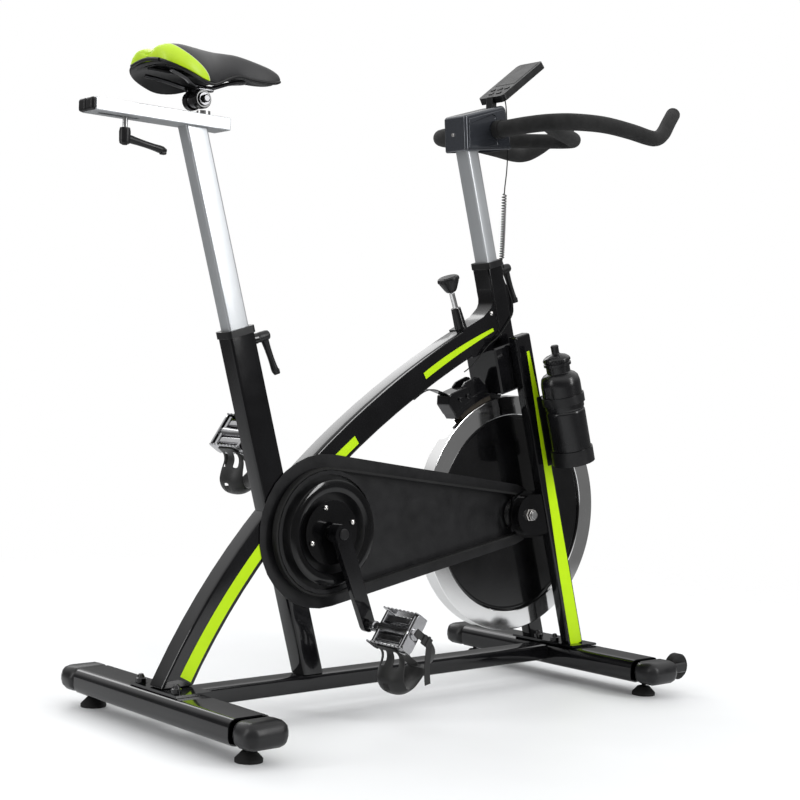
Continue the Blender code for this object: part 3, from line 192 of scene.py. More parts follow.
def map_range(nodes, links, value, inside, outside=(0.0, 1.0), soft=False):
    """The value carried from one range to another, along a soft S when asked."""
    node = nodes.new("ShaderNodeMapRange")
    if soft:
        node.interpolation_type = "SMOOTHSTEP"
    node.inputs["From Min"].default_value, node.inputs["From Max"].default_value = inside
    node.inputs["To Min"].default_value, node.inputs["To Max"].default_value = outside
    links.new(value, node.inputs["Value"])
    return node.outputs["Result"]


def add_bump(nodes, links, shader, height, strength, distance):
    bump = nodes.new("ShaderNodeBump")
    bump.inputs["Strength"].default_value = strength
    bump.inputs["Distance"].default_value = distance
    links.new(height, bump.inputs["Height"])
    links.new(bump.outputs["Normal"], shader.inputs["Normal"])


def surface(name, color, roughness, metallic=0.0, vary=0.15, spread=0.06, patch=14.0, grain=900.0, relief=0.05,
            coat=0.0, sheen=0.0, depth=0.0004, shine=0.5):
    """A material with mottled colour, uneven roughness and a fine relief."""
    made, nodes, links, shader = new_material(name)
    patches = noise_node(nodes, links, patch, 4.0)
    dark = [c * (1 - vary) for c in color]
    light = [min(c * (1 + vary) + 0.002, 1.0) for c in color]
    links.new(color_between(nodes, links, patches.outputs["Fac"], dark, light), shader.inputs["Base Color"])
    smears = noise_node(nodes, links, patch * 3.1, 5.0)
    rough = (max(roughness - spread, 0.02), min(roughness + spread, 1.0))
    uneven = map_range(nodes, links, smears.outputs["Fac"], (0.3, 0.7), rough)
    links.new(uneven, shader.inputs["Roughness"])
    shader.inputs["Metallic"].default_value = metallic
    shader.inputs["Coat Weight"].default_value = coat
    shader.inputs["Coat Roughness"].default_value = 0.04
    shader.inputs["Sheen Weight"].default_value = sheen
    shader.inputs["Specular IOR Level"].default_value = shine
    if relief > 0:
        fine = noise_node(nodes, links, grain, 2.0)
        add_bump(nodes, links, shader, fine.outputs["Fac"], relief, depth)
    return made


PAINT = surface("gloss_black_paint", (0.0035, 0.0035, 0.0042), 0.13, vary=0.3, spread=0.02, grain=90, relief=0.004,
                coat=0.3, shine=0.2)
SILVER = surface("satin_silver_coat", (0.43, 0.445, 0.46), 0.3, 0.55, vary=0.012, spread=0.02, patch=5, grain=900,
                 relief=0.0, coat=0.1)
CAP_PLASTIC = surface("satin_black_plastic", (0.007, 0.007, 0.0078), 0.34, vary=0.2, grain=1400, relief=0.1,
                      shine=0.3)
GUARD_PLASTIC = surface("gloss_guard_plastic", (0.0026, 0.0026, 0.003), 0.11, vary=0.25, spread=0.03, grain=120,
                        relief=0.015, coat=0.2, shine=0.2)
GREY_SHELL = surface("gloss_dark_grey_shell", (0.05, 0.055, 0.066), 0.17, 0.5, vary=0.12, spread=0.03, patch=6,
                     grain=800, relief=0.02, coat=0.7)
RUBBER = surface("matt_rubber", (0.009, 0.009, 0.009), 0.7, vary=0.25, grain=1100, relief=0.25, shine=0.25)
FOAM = surface("foam_grip", (0.0145, 0.0145, 0.0145), 0.86, vary=0.22, patch=40, grain=1700, relief=0.55,
    sheen=0.05, depth=0.0007, shine=0.25)
CHROME = surface("polished_rim", (0.66, 0.66, 0.66), 0.09, 1.0, vary=0.03, spread=0.03, patch=9, grain=500,
    relief=0.01)
STEEL = surface("machined_steel", (0.45, 0.45, 0.45), 0.28, 1.0, vary=0.08, spread=0.08, grain=900, relief=0.06)
ALLOY = surface("cast_alloy", (0.34, 0.34, 0.35), 0.2, 1.0, vary=0.08, spread=0.05, patch=30, grain=500,
    relief=0.06)
DISC_PAINT = surface("flywheel_black", (0.0028, 0.0028, 0.0032), 0.12, vary=0.3, spread=0.03, grain=180,
    relief=0.02, coat=0.3, shine=0.25)
LIME = surface("lime_stripe", (0.5, 0.78, 0.004), 0.34, vary=0.04, spread=0.05, grain=900, relief=0.03, shine=0.2)
SCREW = surface("bright_screw", (0.7, 0.68, 0.66), 0.16, 1.0, vary=0.1, spread=0.05, grain=900, relief=0.04)
GLASS = surface("console_glass", (0.022, 0.022, 0.024), 0.12, vary=0.15, spread=0.03, patch=10, grain=200,
    relief=0.0, coat=0.9)
DISPLAY = surface("display_panel", (0.085, 0.08, 0.08), 0.25, vary=0.06, spread=0.04, patch=20, grain=900,
                  relief=0.0, coat=0.5)
TRIM = surface("silver_trim", (0.6, 0.6, 0.62), 0.16, 0.9, vary=0.05, spread=0.04, grain=900, relief=0.02)
RAIL = surface("dark_plated_rail", (0.055, 0.055, 0.058), 0.14, 0.9, vary=0.2, spread=0.04, grain=600, relief=0.02,
               coat=0.3)
STRAP = surface("strap_plastic", (0.009, 0.009, 0.009), 0.48, vary=0.2, grain=700, relief=0.25, shine=0.35)
FELT = surface("brake_felt", (0.035, 0.03, 0.024), 0.95, vary=0.25, patch=80, grain=1600, relief=0.5, shine=0.1)
BOTTLE = surface("bottle_plastic", (0.005, 0.005, 0.0058), 0.24, vary=0.2, spread=0.04, grain=600, relief=0.03,
                 shine=0.35)


def floor_material():
    """Pale floor that fades out into the white surround away from the bike."""
    made, nodes, links, shader = new_material("pale_floor")
    tone = noise_node(nodes, links, 2.0)
    links.new(color_between(nodes, links, tone.outputs["Fac"], (0.8, 0.81, 0.82), (0.84, 0.85, 0.86)),
              shader.inputs["Base Color"])
    shader.inputs["Roughness"].default_value = 0.5
    where = nodes.new("ShaderNodeTexCoord")
    reach = nodes.new("ShaderNodeVectorMath")
    reach.operation = "LENGTH"
    links.new(where.outputs["Object"], reach.inputs[0])
    fade = map_range(nodes, links, reach.outputs["Value"], FLOOR_FADE, soft=True)
    clear = nodes.new("ShaderNodeBsdfTransparent")
    both = nodes.new("ShaderNodeMixShader")
    links.new(fade, both.inputs["Fac"])
    links.new(shader.outputs["BSDF"], both.inputs[1])
    links.new(clear.outputs["BSDF"], both.inputs[2])
    links.new(both.outputs["Shader"], nodes["Material Output"].inputs["Surface"])
    return made


FLOOR = floor_material()


def saddle_cover_material():
    """Grained cover: lime behind a curved line, black ahead of it, a pale welt between."""
    made, nodes, links, shader = new_material("saddle_cover")
    where = nodes.new("ShaderNodeTexCoord")
    split = nodes.new("ShaderNodeSeparateXYZ")
    links.new(where.outputs["Object"], split.inputs["Vector"])

    def math_node(kind, first, second):
        node = nodes.new("ShaderNodeMath")
        node.operation = kind
        links.new(first, node.inputs[0])
        links.new(second, node.inputs[1])
        return node.outputs["Value"]

    line_runs = (REAR_X - 0.056, REAR_X + 0.002)
    line = map_range(nodes, links, split.outputs["Z"], (1.08, 1.02), line_runs, True)
    ahead = math_node("SUBTRACT", split.outputs["X"], line)

    def step(value, low, high):
        return map_range(nodes, links, value, (low, high))

    patches = noise_node(nodes, links, 20.0)
    lime = color_between(nodes, links, patches.outputs["Fac"], (0.5, 0.76, 0.008), (0.58, 0.84, 0.012))
    black = color_between(nodes, links, patches.outputs["Fac"], (0.012, 0.012, 0.013), (0.02, 0.02, 0.022))

    def blend_color(factor, first, second):
        node = nodes.new("ShaderNodeMix")
        node.data_type = "RGBA"
        links.new(factor, node.inputs["Factor"])
        for socket, value in ((node.inputs["A"], first), (node.inputs["B"], second)):
            if isinstance(value, tuple):
                socket.default_value = value
            else:
                links.new(value, socket)
        return node.outputs["Result"]

    halves = blend_color(step(ahead, -0.0002, 0.0002), lime, black)
    welt = math_node("MULTIPLY", step(ahead, -0.001, -0.0006), step(ahead, 0.001, 0.0006))
    links.new(blend_color(welt, halves, (0.6, 0.66, 0.42, 1.0)), shader.inputs["Base Color"])
    shader.inputs["Roughness"].default_value = 0.42
    cells = noise_node(nodes, links, 520.0, 2.0, "ShaderNodeTexVoronoi")
    add_bump(nodes, links, shader, cells.outputs["Distance"], 0.22, 0.0004)
    return made


SADDLE = saddle_cover_material()


# ---------------------------------------------------------------- mesh helpers
def smooth_group():
    """Shades smooth, with edges over 32 degrees kept sharp."""
    group = bpy.data.node_groups.new("smooth_by_angle", "GeometryNodeTree")
    group.interface.new_socket("Geometry", in_out="INPUT", socket_type="NodeSocketGeometry")
    group.interface.new_socket("Geometry", in_out="OUTPUT", socket_type="NodeSocketGeometry")
    nodes, links = group.nodes, group.links
    start, end = nodes.new("NodeGroupInput"), nodes.new("NodeGroupOutput")
    faces, edges = nodes.new("GeometryNodeSetShadeSmooth"), nodes.new("GeometryNodeSetShadeSmooth")
    faces.domain, edges.domain = "FACE", "EDGE"
    angle, compare = nodes.new("GeometryNodeInputMeshEdgeAngle"), nodes.new("FunctionNodeCompare")
    compare.operation = "LESS_THAN"
    compare.inputs[1].default_value = SHARP_EDGE
    links.new(angle.outputs["Unsigned Angle"], compare.inputs[0])
    links.new(compare.outputs["Result"], edges.inputs["Shade Smooth"])
    links.new(start.outputs[0], faces.inputs["Geometry"])
    links.new(faces.outputs["Geometry"], edges.inputs["Geometry"])
    links.new(edges.outputs["Geometry"], end.inputs[0])
    return group


SMOOTH = smooth_group()


def smooth(obj, weld=False):
    """Smooth shading by angle, after closing the CAD mesh's seams if asked."""
    if weld:
        obj.modifiers.new("weld", "WELD").merge_threshold = WELD_DISTANCE
    shade = obj.modifiers.new("smooth", "NODES")
    shade.node_group = SMOOTH
    normals = obj.modifiers.new("normals", "WEIGHTED_NORMAL")
    normals.keep_sharp = True
    return obj


def link(name, mesh, mat, matrix=Matrix.Identity(4)):
    obj = bpy.data.objects.new(name, mesh)
    obj.matrix_world = matrix
    if mat is not None:
        mesh.materials.clear()
        mesh.materials.append(mat)
    bpy.context.scene.collection.objects.link(obj)
    return obj


def from_bmesh(name, bm, mat, matrix=Matrix.Identity(4)):
    mesh = bpy.data.meshes.new(name)
    bmesh.ops.recalc_face_normals(bm, faces=bm.faces)
    bm.to_mesh(mesh)
    bm.free()
    return link(name, mesh, mat, matrix)


def baked(obj):
    """The object with its modifiers applied."""
    bpy.context.view_layer.update()
    graph = bpy.context.evaluated_depsgraph_get()
    mesh = bpy.data.meshes.new_from_object(obj.evaluated_get(graph))
    name, matrix = obj.name, obj.matrix_world.copy()
    mats = [slot.material for slot in obj.material_slots]
    bpy.data.objects.remove(obj, do_unlink=True)
    made = link(name, mesh, None, matrix)
    made.data.materials.clear()
    for mat in mats:
        made.data.materials.append(mat)
    return made


def world_mesh(obj):
    """Move the object's place into its mesh, so that its origin is the frame's."""
    obj.data.transform(obj.matrix_world)
    obj.matrix_world = Matrix.Identity(4)
    return obj


def merge(name, objects):
    """One object out of several, each keeping its own material."""
    bm = bmesh.new()
    mats = []
    for obj in objects:
        obj = world_mesh(baked(obj))
        start = len(bm.faces)
        bm.from_mesh(obj.data)
        bm.faces.ensure_lookup_table()
        for slot in obj.data.materials:
            if slot not in mats:
                mats.append(slot)
        table = [mats.index(slot) for slot in obj.data.materials]
        for face in bm.faces[start:]:
            face.material_index = table[min(face.material_index, len(table) - 1)]
        bpy.data.objects.remove(obj, do_unlink=True)
    mesh = bpy.data.meshes.new(name)
    bm.to_mesh(mesh)
    bm.free()
    made = link(name, mesh, None)
    for mat in mats:
        made.data.materials.append(mat)
    return made


def bevel(obj, width, segments=3, angle=35):
    edges = obj.modifiers.new("edges", "BEVEL")
    edges.width = width
    edges.segments = segments
    edges.limit_method = "ANGLE"
    edges.angle_limit = math.radians(angle)
    return obj


def walled(obj, thickness, offset):
    wall = obj.modifiers.new("wall", "SOLIDIFY")
    wall.thickness = thickness
    wall.offset = offset


def rounded(obj):
    step = obj.modifiers.new("round", "SUBSURF")
    step.levels = 1
    step.render_levels = 1
    return obj


def box(name, size, matrix, mat, edge=0.001, segments=3):
    bm = bmesh.new()
    bmesh.ops.create_cube(bm, size=1.0, matrix=Matrix.Diagonal((*size, 1.0)))
    return bevel(from_bmesh(name, bm, mat, matrix), edge, segments)


def turned(name, profile, matrix, mat, sides=64, closed=False):
    """Turn (radius, height) points round Z; listed down the outer side, top to bottom."""
    bm = bmesh.new()
    verts = [bm.verts.new((r, 0.0, z)) for r, z in profile]
    edges = [bm.edges.new(pair) for pair in zip(verts, verts[1:])]
    if closed:
        edges.append(bm.edges.new((verts[-1], verts[0])))
    bmesh.ops.spin(bm, geom=verts + edges, cent=(0, 0, 0), axis=(0, 0, 1), angle=2 * math.pi, steps=sides,
                   use_merge=True)
    bmesh.ops.remove_doubles(bm, verts=bm.verts, dist=WELD_DISTANCE)
    return from_bmesh(name, bm, mat, matrix)


def curve_mesh(name, curve, mat, matrix=Matrix.Identity(4)):
    obj = bpy.data.objects.new(name + "_curve", curve)
    obj.matrix_world = matrix
    bpy.context.scene.collection.objects.link(obj)
    bpy.context.view_layer.update()
    mesh = bpy.data.meshes.new_from_object(obj.evaluated_get(bpy.context.evaluated_depsgraph_get()))
    bpy.data.objects.remove(obj, do_unlink=True)
    bm = bmesh.new()
    bm.from_mesh(mesh)
    bmesh.ops.remove_doubles(bm, verts=bm.verts, dist=0.00002)
    return from_bmesh(name, bm, mat, matrix)


def outline(name, loops, thickness, matrix, mat, edge=0.0, segments=3):
    """Flat plate inside the first loop, with the other loops as holes."""
    curve = bpy.data.curves.new(name, "CURVE")
    curve.dimensions = "2D"
    curve.fill_mode = "BOTH"
    curve.extrude = thickness / 2
    for loop in loops:
        spline = curve.splines.new("POLY")
        spline.points.add(len(loop) - 1)
        for point, (x, y) in zip(spline.points, loop):
            point.co = (x, y, 0.0, 1.0)
        spline.use_cyclic_u = True
    obj = curve_mesh(name, curve, mat, matrix)
    return bevel(obj, edge, segments) if edge > 0 else obj


def tube(name, points, radius, mat, resolution=4, radii=None):
    curve = bpy.data.curves.new(name, "CURVE")
    curve.dimensions = "3D"
    curve.bevel_depth = radius
    curve.bevel_resolution = resolution
    curve.use_fill_caps = True
    spline = curve.splines.new("POLY")
    spline.points.add(len(points) - 1)
    for i, (point, where) in enumerate(zip(spline.points, points)):
        point.co = (*where, 1.0)
        point.radius = radii[i] if radii else 1.0
    return curve_mesh(name, curve, mat)


def through(a, b, c, d, t):
    """Catmull-Rom value between b and c."""
    square, cube = 2 * a - 5 * b + 4 * c - d, 3 * b - a - 3 * c + d
    return 0.5 * (2 * b + (c - a) * t + square * t ** 2 + cube * t ** 3)


def smooth_route(knots, count):
    knots = [Vector(k) for k in knots]
    ends = [2 * knots[0] - knots[1]] + knots + [2 * knots[-1] - knots[-2]]
    route = []
    spans = len(knots) - 1
    for step in range(count):
        place_on = step * spans / (count - 1)
        i = min(int(place_on), spans - 1)
        route.append(through(*ends[i:i + 4], place_on - i))
    return route


def loft(name, rings, mat):
    bm = bmesh.new()
    made = [[bm.verts.new(point) for point in ring] for ring in rings]
    for ring, after in zip(made, made[1:]):
        count = len(ring)
        for j in range(count):
            bm.faces.new((ring[j], ring[(j + 1) % count], after[(j + 1) % count], after[j]))
    bm.faces.new(made[0])
    bm.faces.new(made[-1])
    return from_bmesh(name, bm, mat)


def arc(center, radius, start, stop, count):
    angles = [math.radians(start + (stop - start) * i / (count - 1)) for i in range(count)]
    return [(center[0] + radius * math.cos(a), center[1] + radius * math.sin(a)) for a in angles]


def rounded_rect(width, height, radius, steps=5):
    loop = []
    for i, (sx, sy) in enumerate(((1, 1), (-1, 1), (-1, -1), (1, -1))):
        center = (sx * (width / 2 - radius), sy * (height / 2 - radius))
        loop += arc(center, radius, 90 * i, 90 * i + 90, steps)
    return loop


def hull_of_circles(big, big_radius, small, small_radius, steps):
    run = Vector(small) - Vector(big)
    lie = math.degrees(math.atan2(run.y, run.x))
    spread = math.degrees(math.acos((big_radius - small_radius) / run.length))
    front = arc(small, small_radius, lie - spread, lie + spread, steps)
    back = arc(big, big_radius, lie + spread, lie + 360 - spread, 2 * steps)
    return front + back


def finish_piece(obj, body, slot, *nodes, shade=True):
    """Bake, put the mesh in the frame's own axes, and make it ride on its body."""
    obj = world_mesh(baked(obj))
    if shade:
        smooth(obj)
    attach(obj, body)
    if nodes:
        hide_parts(*nodes)
    return obj


def cut(obj, tool):
    step = obj.modifiers.new("cut", "BOOLEAN")
    step.operation = "DIFFERENCE"
    step.object = tool
    step.solver = "EXACT"
    made = baked(obj)
    bpy.data.objects.remove(tool, do_unlink=True)
    return made


# ---------------------------------------------------------------- sensor cable
def sensor_cable():
    """One lead: thin from the console, coiled in front of the post, thin down the head tube."""
    upper = smooth_route(spots((696.5, -12, 1100), (700.5, -12, 1086), (703.5, -12, 1060), (706.5, -12, 1025),
        (708.5, -12, 995), (707.5, -12, 965), (704.5, -12, 940), (703.5, -12, 925.3)), 24)
    middle = smooth_route(spots((703.5, -12, 925), (703.5, -12, 880), (703, -12, 840), (702, -12, 800)), 60)
    turns, per_turn, across = 26, 14, 0.0038
    coil = []
    for i in range(turns * per_turn + 1):
        share = i / (turns * per_turn)
        at = share * (len(middle) - 1)
        low = min(int(at), len(middle) - 2)
        center = middle[low].lerp(middle[low + 1], at - low)
        ease = min(1.0, 40 * share, 40 * (1 - share))
        turn = 2 * math.pi * i / per_turn
        coil.append(center + Vector((math.cos(turn), math.sin(turn), 0)) * across * ease)
    lower = smooth_route(spots((702, -12, 799.7), (704.5, -14.5, 790), (707.5, -16.5, 772), (715, -19, 746),
        (723.5, -21.5, 722), (723.5, -24, 701), (704, -25.5, 675), (685, -25.5, 655), (662, -25, 639),
        (640, -22.5, 615), (622, -21.5, 598), (608, -19.5, 588)), 40)
    route = upper + coil + lower
    lead = tube("sensor_cable", route, 0.0011, RUBBER, 2)
    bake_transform(lead)
    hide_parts("cable_upper", "cable_coil", "cable_lower")


# ---------------------------------------------------------------- frame looks
def dress_nodes():
    """Materials and smooth shading for the CAD nodes that stay."""
    looks = {
        PAINT: ["main_tube", "seat_tube", "seat_strut", "head_tube", "fork_leg_right", "fork_leg_left", "base_rail",
                "rear_stabilizer", "front_stabilizer", "rear_mount_plate", "front_mount_plate", "crank_arm_right",
                "crank_arm_left", "saddle_clamp"],
        SILVER: ["seat_post", "seat_rail", "handlebar_post"],
        CAP_PLASTIC: ["rear_end_cap_right", "rear_end_cap_left", "front_end_cap_right", "front_end_cap_left",
                      "belt_guard_inner", "crank_pulley", "bottle_cage"],
        GUARD_PLASTIC: ["crank_cover"],
        RUBBER: ["drive_belt", "rear_foot_right", "rear_foot_left", "front_foot_right", "front_foot_left",
                 "transport_wheel_right", "transport_wheel_left"],
        STEEL: ["crank_axle", "flywheel_pulley", "flywheel_axle", "seat_carriage"],
        CHROME: ["tension_rod"],
        RAIL: ["saddle_rails"],
        FELT: ["brake_pad"],
    }
    for mat, names in looks.items():
        for name in names:
            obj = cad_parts[name]
            for slot in obj.material_slots:
                slot.material = mat
            smooth(obj, weld=True)


def main_curve(t):
    a, b, c = Vector((0.0105, 0.079)), Vector((0.2018, 0.4388)), Vector((0.68, 0.672))
    point = (1 - t) ** 2 * a + 2 * t * (1 - t) * b + t ** 2 * c
    tangent = (2 * (1 - t) * (b - a) + 2 * t * (c - b)).normalized()
    return point, Vector((-tangent.y, tangent.x))


def main_stripes():
    """Lime bands on both sides of the main tube: wide at the foot, thin at the head."""
    bands = ((0.012, 0.385, (0.004, 0.002, 0.001), (-0.019, -0.0185, -0.018)),
             (0.4, 0.612, (0.001, -0.001, -0.002), (-0.018, -0.018, -0.018)),
             (0.812, 0.998, (0.004, 0.007, 0.0005), (-0.0085, -0.006, -0.0058)))
    pieces = []
    for hand in (RIGHT, LEFT):
        for i, (start, stop, above, below) in enumerate(bands):
            upper, lower = [], []
            for step in range(25):
                share = step / 24
                weights = ((1 - share) ** 2, 2 * share * (1 - share), share ** 2)
                point, normal = main_curve(start + (stop - start) * share)
                upper.append(tuple(point + normal * sum(w * v for w, v in zip(weights, above))))
                lower.append(tuple(point + normal * sum(w * v for w, v in zip(weights, below))))
            pieces.append(outline("band_%d_%d" % (i, hand), [upper + lower[::-1]], STRIPE_THICKNESS,
                                  side_plane(hand * 0.01925), LIME))
    finish_piece(merge("main_tube_stripes", pieces), "frame", "frame_paint", shade=False)


def head_elbow():
    """Bend that carries the main tube up into the head tube, with ways cut for the post and the tension rod."""
    contour = mm((629, 614), (645.1, 619.9), (662, 626.5), (675.4, 634.4), (688, 648), (699.3, 662.2),
        (711, 677.5), (720.2, 690.2), (727.5, 701), (730.5, 712), (729, 726), (722, 740), (707.6, 756.9),
        (702, 766), (690, 772), (669, 743), (674.3, 726), (674.5, 717), (671, 708.5), (664, 701.5), (653, 691.2),
        (602, 664.5))
    obj = baked(outline("head_elbow", [contour], 0.0382, side_plane(0.0), PAINT, 0.005, 4))
    obj = cut(obj, box("post_way", (0.0325, 0.04, 0.4), lean_matrix(HEAD_TOP, -0.1), None, 0.0001, 1))
    rod_way = mm((0, 100), (11, 100), (11, -140), (0, -140))
    obj = cut(obj, turned("rod_way", rod_way, knob_frame(0.0), None, 24))
    finish_piece(obj, "frame", "frame_paint")


def fork_stripes():
    """Lime bands on the outer faces of the fork legs, widening downwards."""
    pieces = []
    for hand in (RIGHT, LEFT):
        rear = mm((2, -172), (0, -260), (-5, -400), (-13, -600), (-15.5, -755))
        front = mm((8.5, -172), (13, -260), (14.5, -400), (15, -600), (15, -755))
        plane = lean_matrix(HEAD_TOP, 0, 0, hand * 0.0631) @ Matrix.Rotation(math.radians(90), 4, "X")
        pieces.append(outline("leg_band_%d" % hand, [rear + front[::-1]], STRIPE_THICKNESS, plane, LIME))
    finish_piece(merge("fork_stripes", pieces), "frame", "frame_paint", shade=False)


def tube_collar(name, top, size, inner, along):
    """Moulded collar round a tube's mouth."""
    loops = [rounded_rect(size[0], size[1], 0.007), rounded_rect(inner[0], inner[1], 0.004)]
    obj = outline(name, loops, 0.012, lean_matrix(top, along), CAP_PLASTIC, 0.0012)
    finish_piece(obj, "frame", "cap_plastic")


def small_hardware():
    """Screw heads, nuts and bolt caps that the frame carries."""
    dome = mm((0, 2.6), (2, 2.4), (4, 1.2), (4.4, 0), (0, 0))
    heads = []
    for i in range(4):
        ahead, high = arc(CRANK_AT, COVER_SCREW_RADIUS, 21 + 90 * i, 0, 2)[0]
        at = cross(ahead, high, -0.0488)
        heads.append(turned("cover_head_%d" % i, dome, at, SCREW, 20))
    for up in (-0.02, 0.02):
        heads.append(turned("dropout_head", dome, cross(SLOT_END, FLYWHEEL_AT[1] + up, -0.046), SCREW, 20))
    heads.append(turned("elbow_plug", dome, cross(0.673, 0.6985, -0.019), SCREW, 20))
    finish_piece(merge("screw_heads", heads), "frame", "plain_steel")
    nuts = []
    for hand in (RIGHT, LEFT):
        flip = flipped(hand)
        for inner, outer, radius in ((0.0562, 0.0622, 0.012), (0.0626, 0.068, 0.0105)):
            hexagon = [(radius * math.cos(math.radians(60 * k)), radius * math.sin(math.radians(60 * k)))
                       for k in range(6)]
            hole = [(0.0082 * math.cos(math.radians(20 * k)), 0.0082 * math.sin(math.radians(20 * k)))
                    for k in range(18)]
            at = cross(*FLYWHEEL_AT) @ flip @ Matrix.Translation((0, 0, (inner + outer) / 2))
            nuts.append(outline("axle_nut", [hexagon, hole], outer - inner, at, SCREW, 0.0006))
    finish_piece(merge("axle_nuts", nuts), "frame", "plain_steel")
    caps = []
    for hand in (RIGHT, LEFT):
        flip = flipped(hand)
        profile = mm((0, 81.6), (8, 81.2), (9.5, 80), (9.5, 78), (0, 78))
        caps.append(turned("bolt_cap", profile, cross(*CRANK_AT) @ flip, CAP_PLASTIC, 32))
    finish_piece(merge("crank_bolt_caps", caps), "crank", "cap_plastic")
    rail_cap = []
    for side in (-0.0105, 0.0105):
        cap = box("rail_lobe", (0.01, 0.0215, 0.02), Matrix.Translation(spot(-0.1715, side, 0.9692)), CAP_PLASTIC,
                  0.0045, 4)
        rail_cap.append(cap)
    finish_piece(merge("rail_end_cap", rail_cap), "seat_post", "cap_plastic")


# ---------------------------------------------------------------- drive
def flywheel_pieces():
    rim, half, ring = FLYWHEEL_RADIUS, 0.014, 0.187
    side = [(ring, 0.0085), (ring, half - 0.001), (ring + 0.001, half), (rim - 0.0018, half),
        (rim - 0.0004, half - 0.0006), (rim, half - 0.0018)]
    finish_piece(turned("flywheel_rim", side + [(r, -z) for r, z in reversed(side)], cross(*FLYWHEEL_AT), CHROME,
        160, closed=True), "flywheel", "flywheel_chrome", "flywheel")
    face = mm((8.3, 22.5), (24, 22.5), (26, 20.5), (26, 10), (30, 8), (178, 8), (180, 9.2), (183, 9.2), (186.8, 8))
    finish_piece(turned("flywheel_disc", face + [(r, -z) for r, z in reversed(face)], cross(*FLYWHEEL_AT),
        DISC_PAINT, 128, closed=True), "flywheel", "flywheel_chrome")


def belt_guard():
    """Outer shell with a stepped-in front, a dished ring at the crank and a lipped axle slot."""
    hub = arc(CRANK_AT, HUB_HOLE_RADIUS, 0, 355, 72)
    slot = hull_of_circles((FLYWHEEL_AT[0] + 0.006, FLYWHEEL_AT[1]), 0.0381, (SLOT_END, FLYWHEEL_AT[1]),
        SLOT_RADIUS, 16)
    shape = hull_of_circles(CRANK_AT, GUARD_RADIUS, GUARD_NOSE, GUARD_NOSE_RADIUS, 32)
    obj = outline("belt_guard", [shape, hub], 0.0, side_plane(GUARD_FACE), GUARD_PLASTIC)
    bm = bmesh.new()
    bm.from_mesh(obj.data)
    start, run, fall = GUARD_STEP
    for k in range(8):
        x = (590 + 10 * k) / 1000
        bmesh.ops.bisect_plane(bm, geom=bm.verts[:] + bm.edges[:] + bm.faces[:], plane_co=(x, 0, 0),
                               plane_no=(1, 0, 0), dist=WELD_DISTANCE)
    rim = [e for e in bm.edges if e.is_boundary and min(
        (v.co - Vector((*CRANK_AT, 0))).length for v in e.verts) > 0.07]
    walls = bmesh.ops.extrude_edge_only(bm, edges=rim)["geom"]
    lower = {v for v in walls if isinstance(v, bmesh.types.BMVert)}
    for vert in bm.verts:
        if vert in lower:
            vert.co.z = GUARD_INNER_Z
        else:
            share = min(max((vert.co.x - start) / run, 0.0), 1.0)
            vert.co.z = -fall * share * share * (3 - 2 * share)
    bmesh.ops.recalc_face_normals(bm, faces=bm.faces)
    bm.to_mesh(obj.data)
    bm.free()
    bevel(obj, 0.0045, 4, 60)
    walled(obj, GUARD_WALL, 1.0 if obj.data.polygons[0].normal.z < 0 else -1.0)
    obj = baked(obj)
    cutter = outline("slot_cutter", [slot], 0.03, side_plane(-0.045), None)
    obj = cut(obj, cutter)
    obj = cut(obj, leg_notch())
    finish_piece(obj, "frame", "guard_gloss", "belt_guard_outer")
    ring = mm((89.5, -0.4), (87, 1.2), (80, 2), (74, 1.6), (69, -0.4))
    finish_piece(turned("guard_ring", ring, cross(*CRANK_AT, GUARD_FACE), GUARD_PLASTIC, 96, closed=True), "frame",
                 "guard_gloss")
    lip_outer = hull_of_circles((FLYWHEEL_AT[0] + 0.006, FLYWHEEL_AT[1]), 0.0441, (SLOT_END, FLYWHEEL_AT[1]),
        SLOT_RADIUS + 0.006, 20)
    lip = outline("guard_slot_lip", [lip_outer, slot], 0.007, side_plane(-0.044), GUARD_PLASTIC, 0.0022, 3)
    lip = cut(baked(lip), leg_notch())
    finish_piece(lip, "frame", "guard_gloss")


def pedal_at(hand):
    up = 1 if hand == LEFT else -1
    ahead = CRANK_AT[0] - up * CRANK_LENGTH * math.sin(CRANK_ANGLE)
    high = CRANK_AT[1] + up * CRANK_LENGTH * math.cos(CRANK_ANGLE)
    return Matrix.Translation(spot(ahead, hand * PEDAL_SIDE, high)) @ Matrix.Rotation(PEDAL_TOE_ANGLE, 4, "Y")


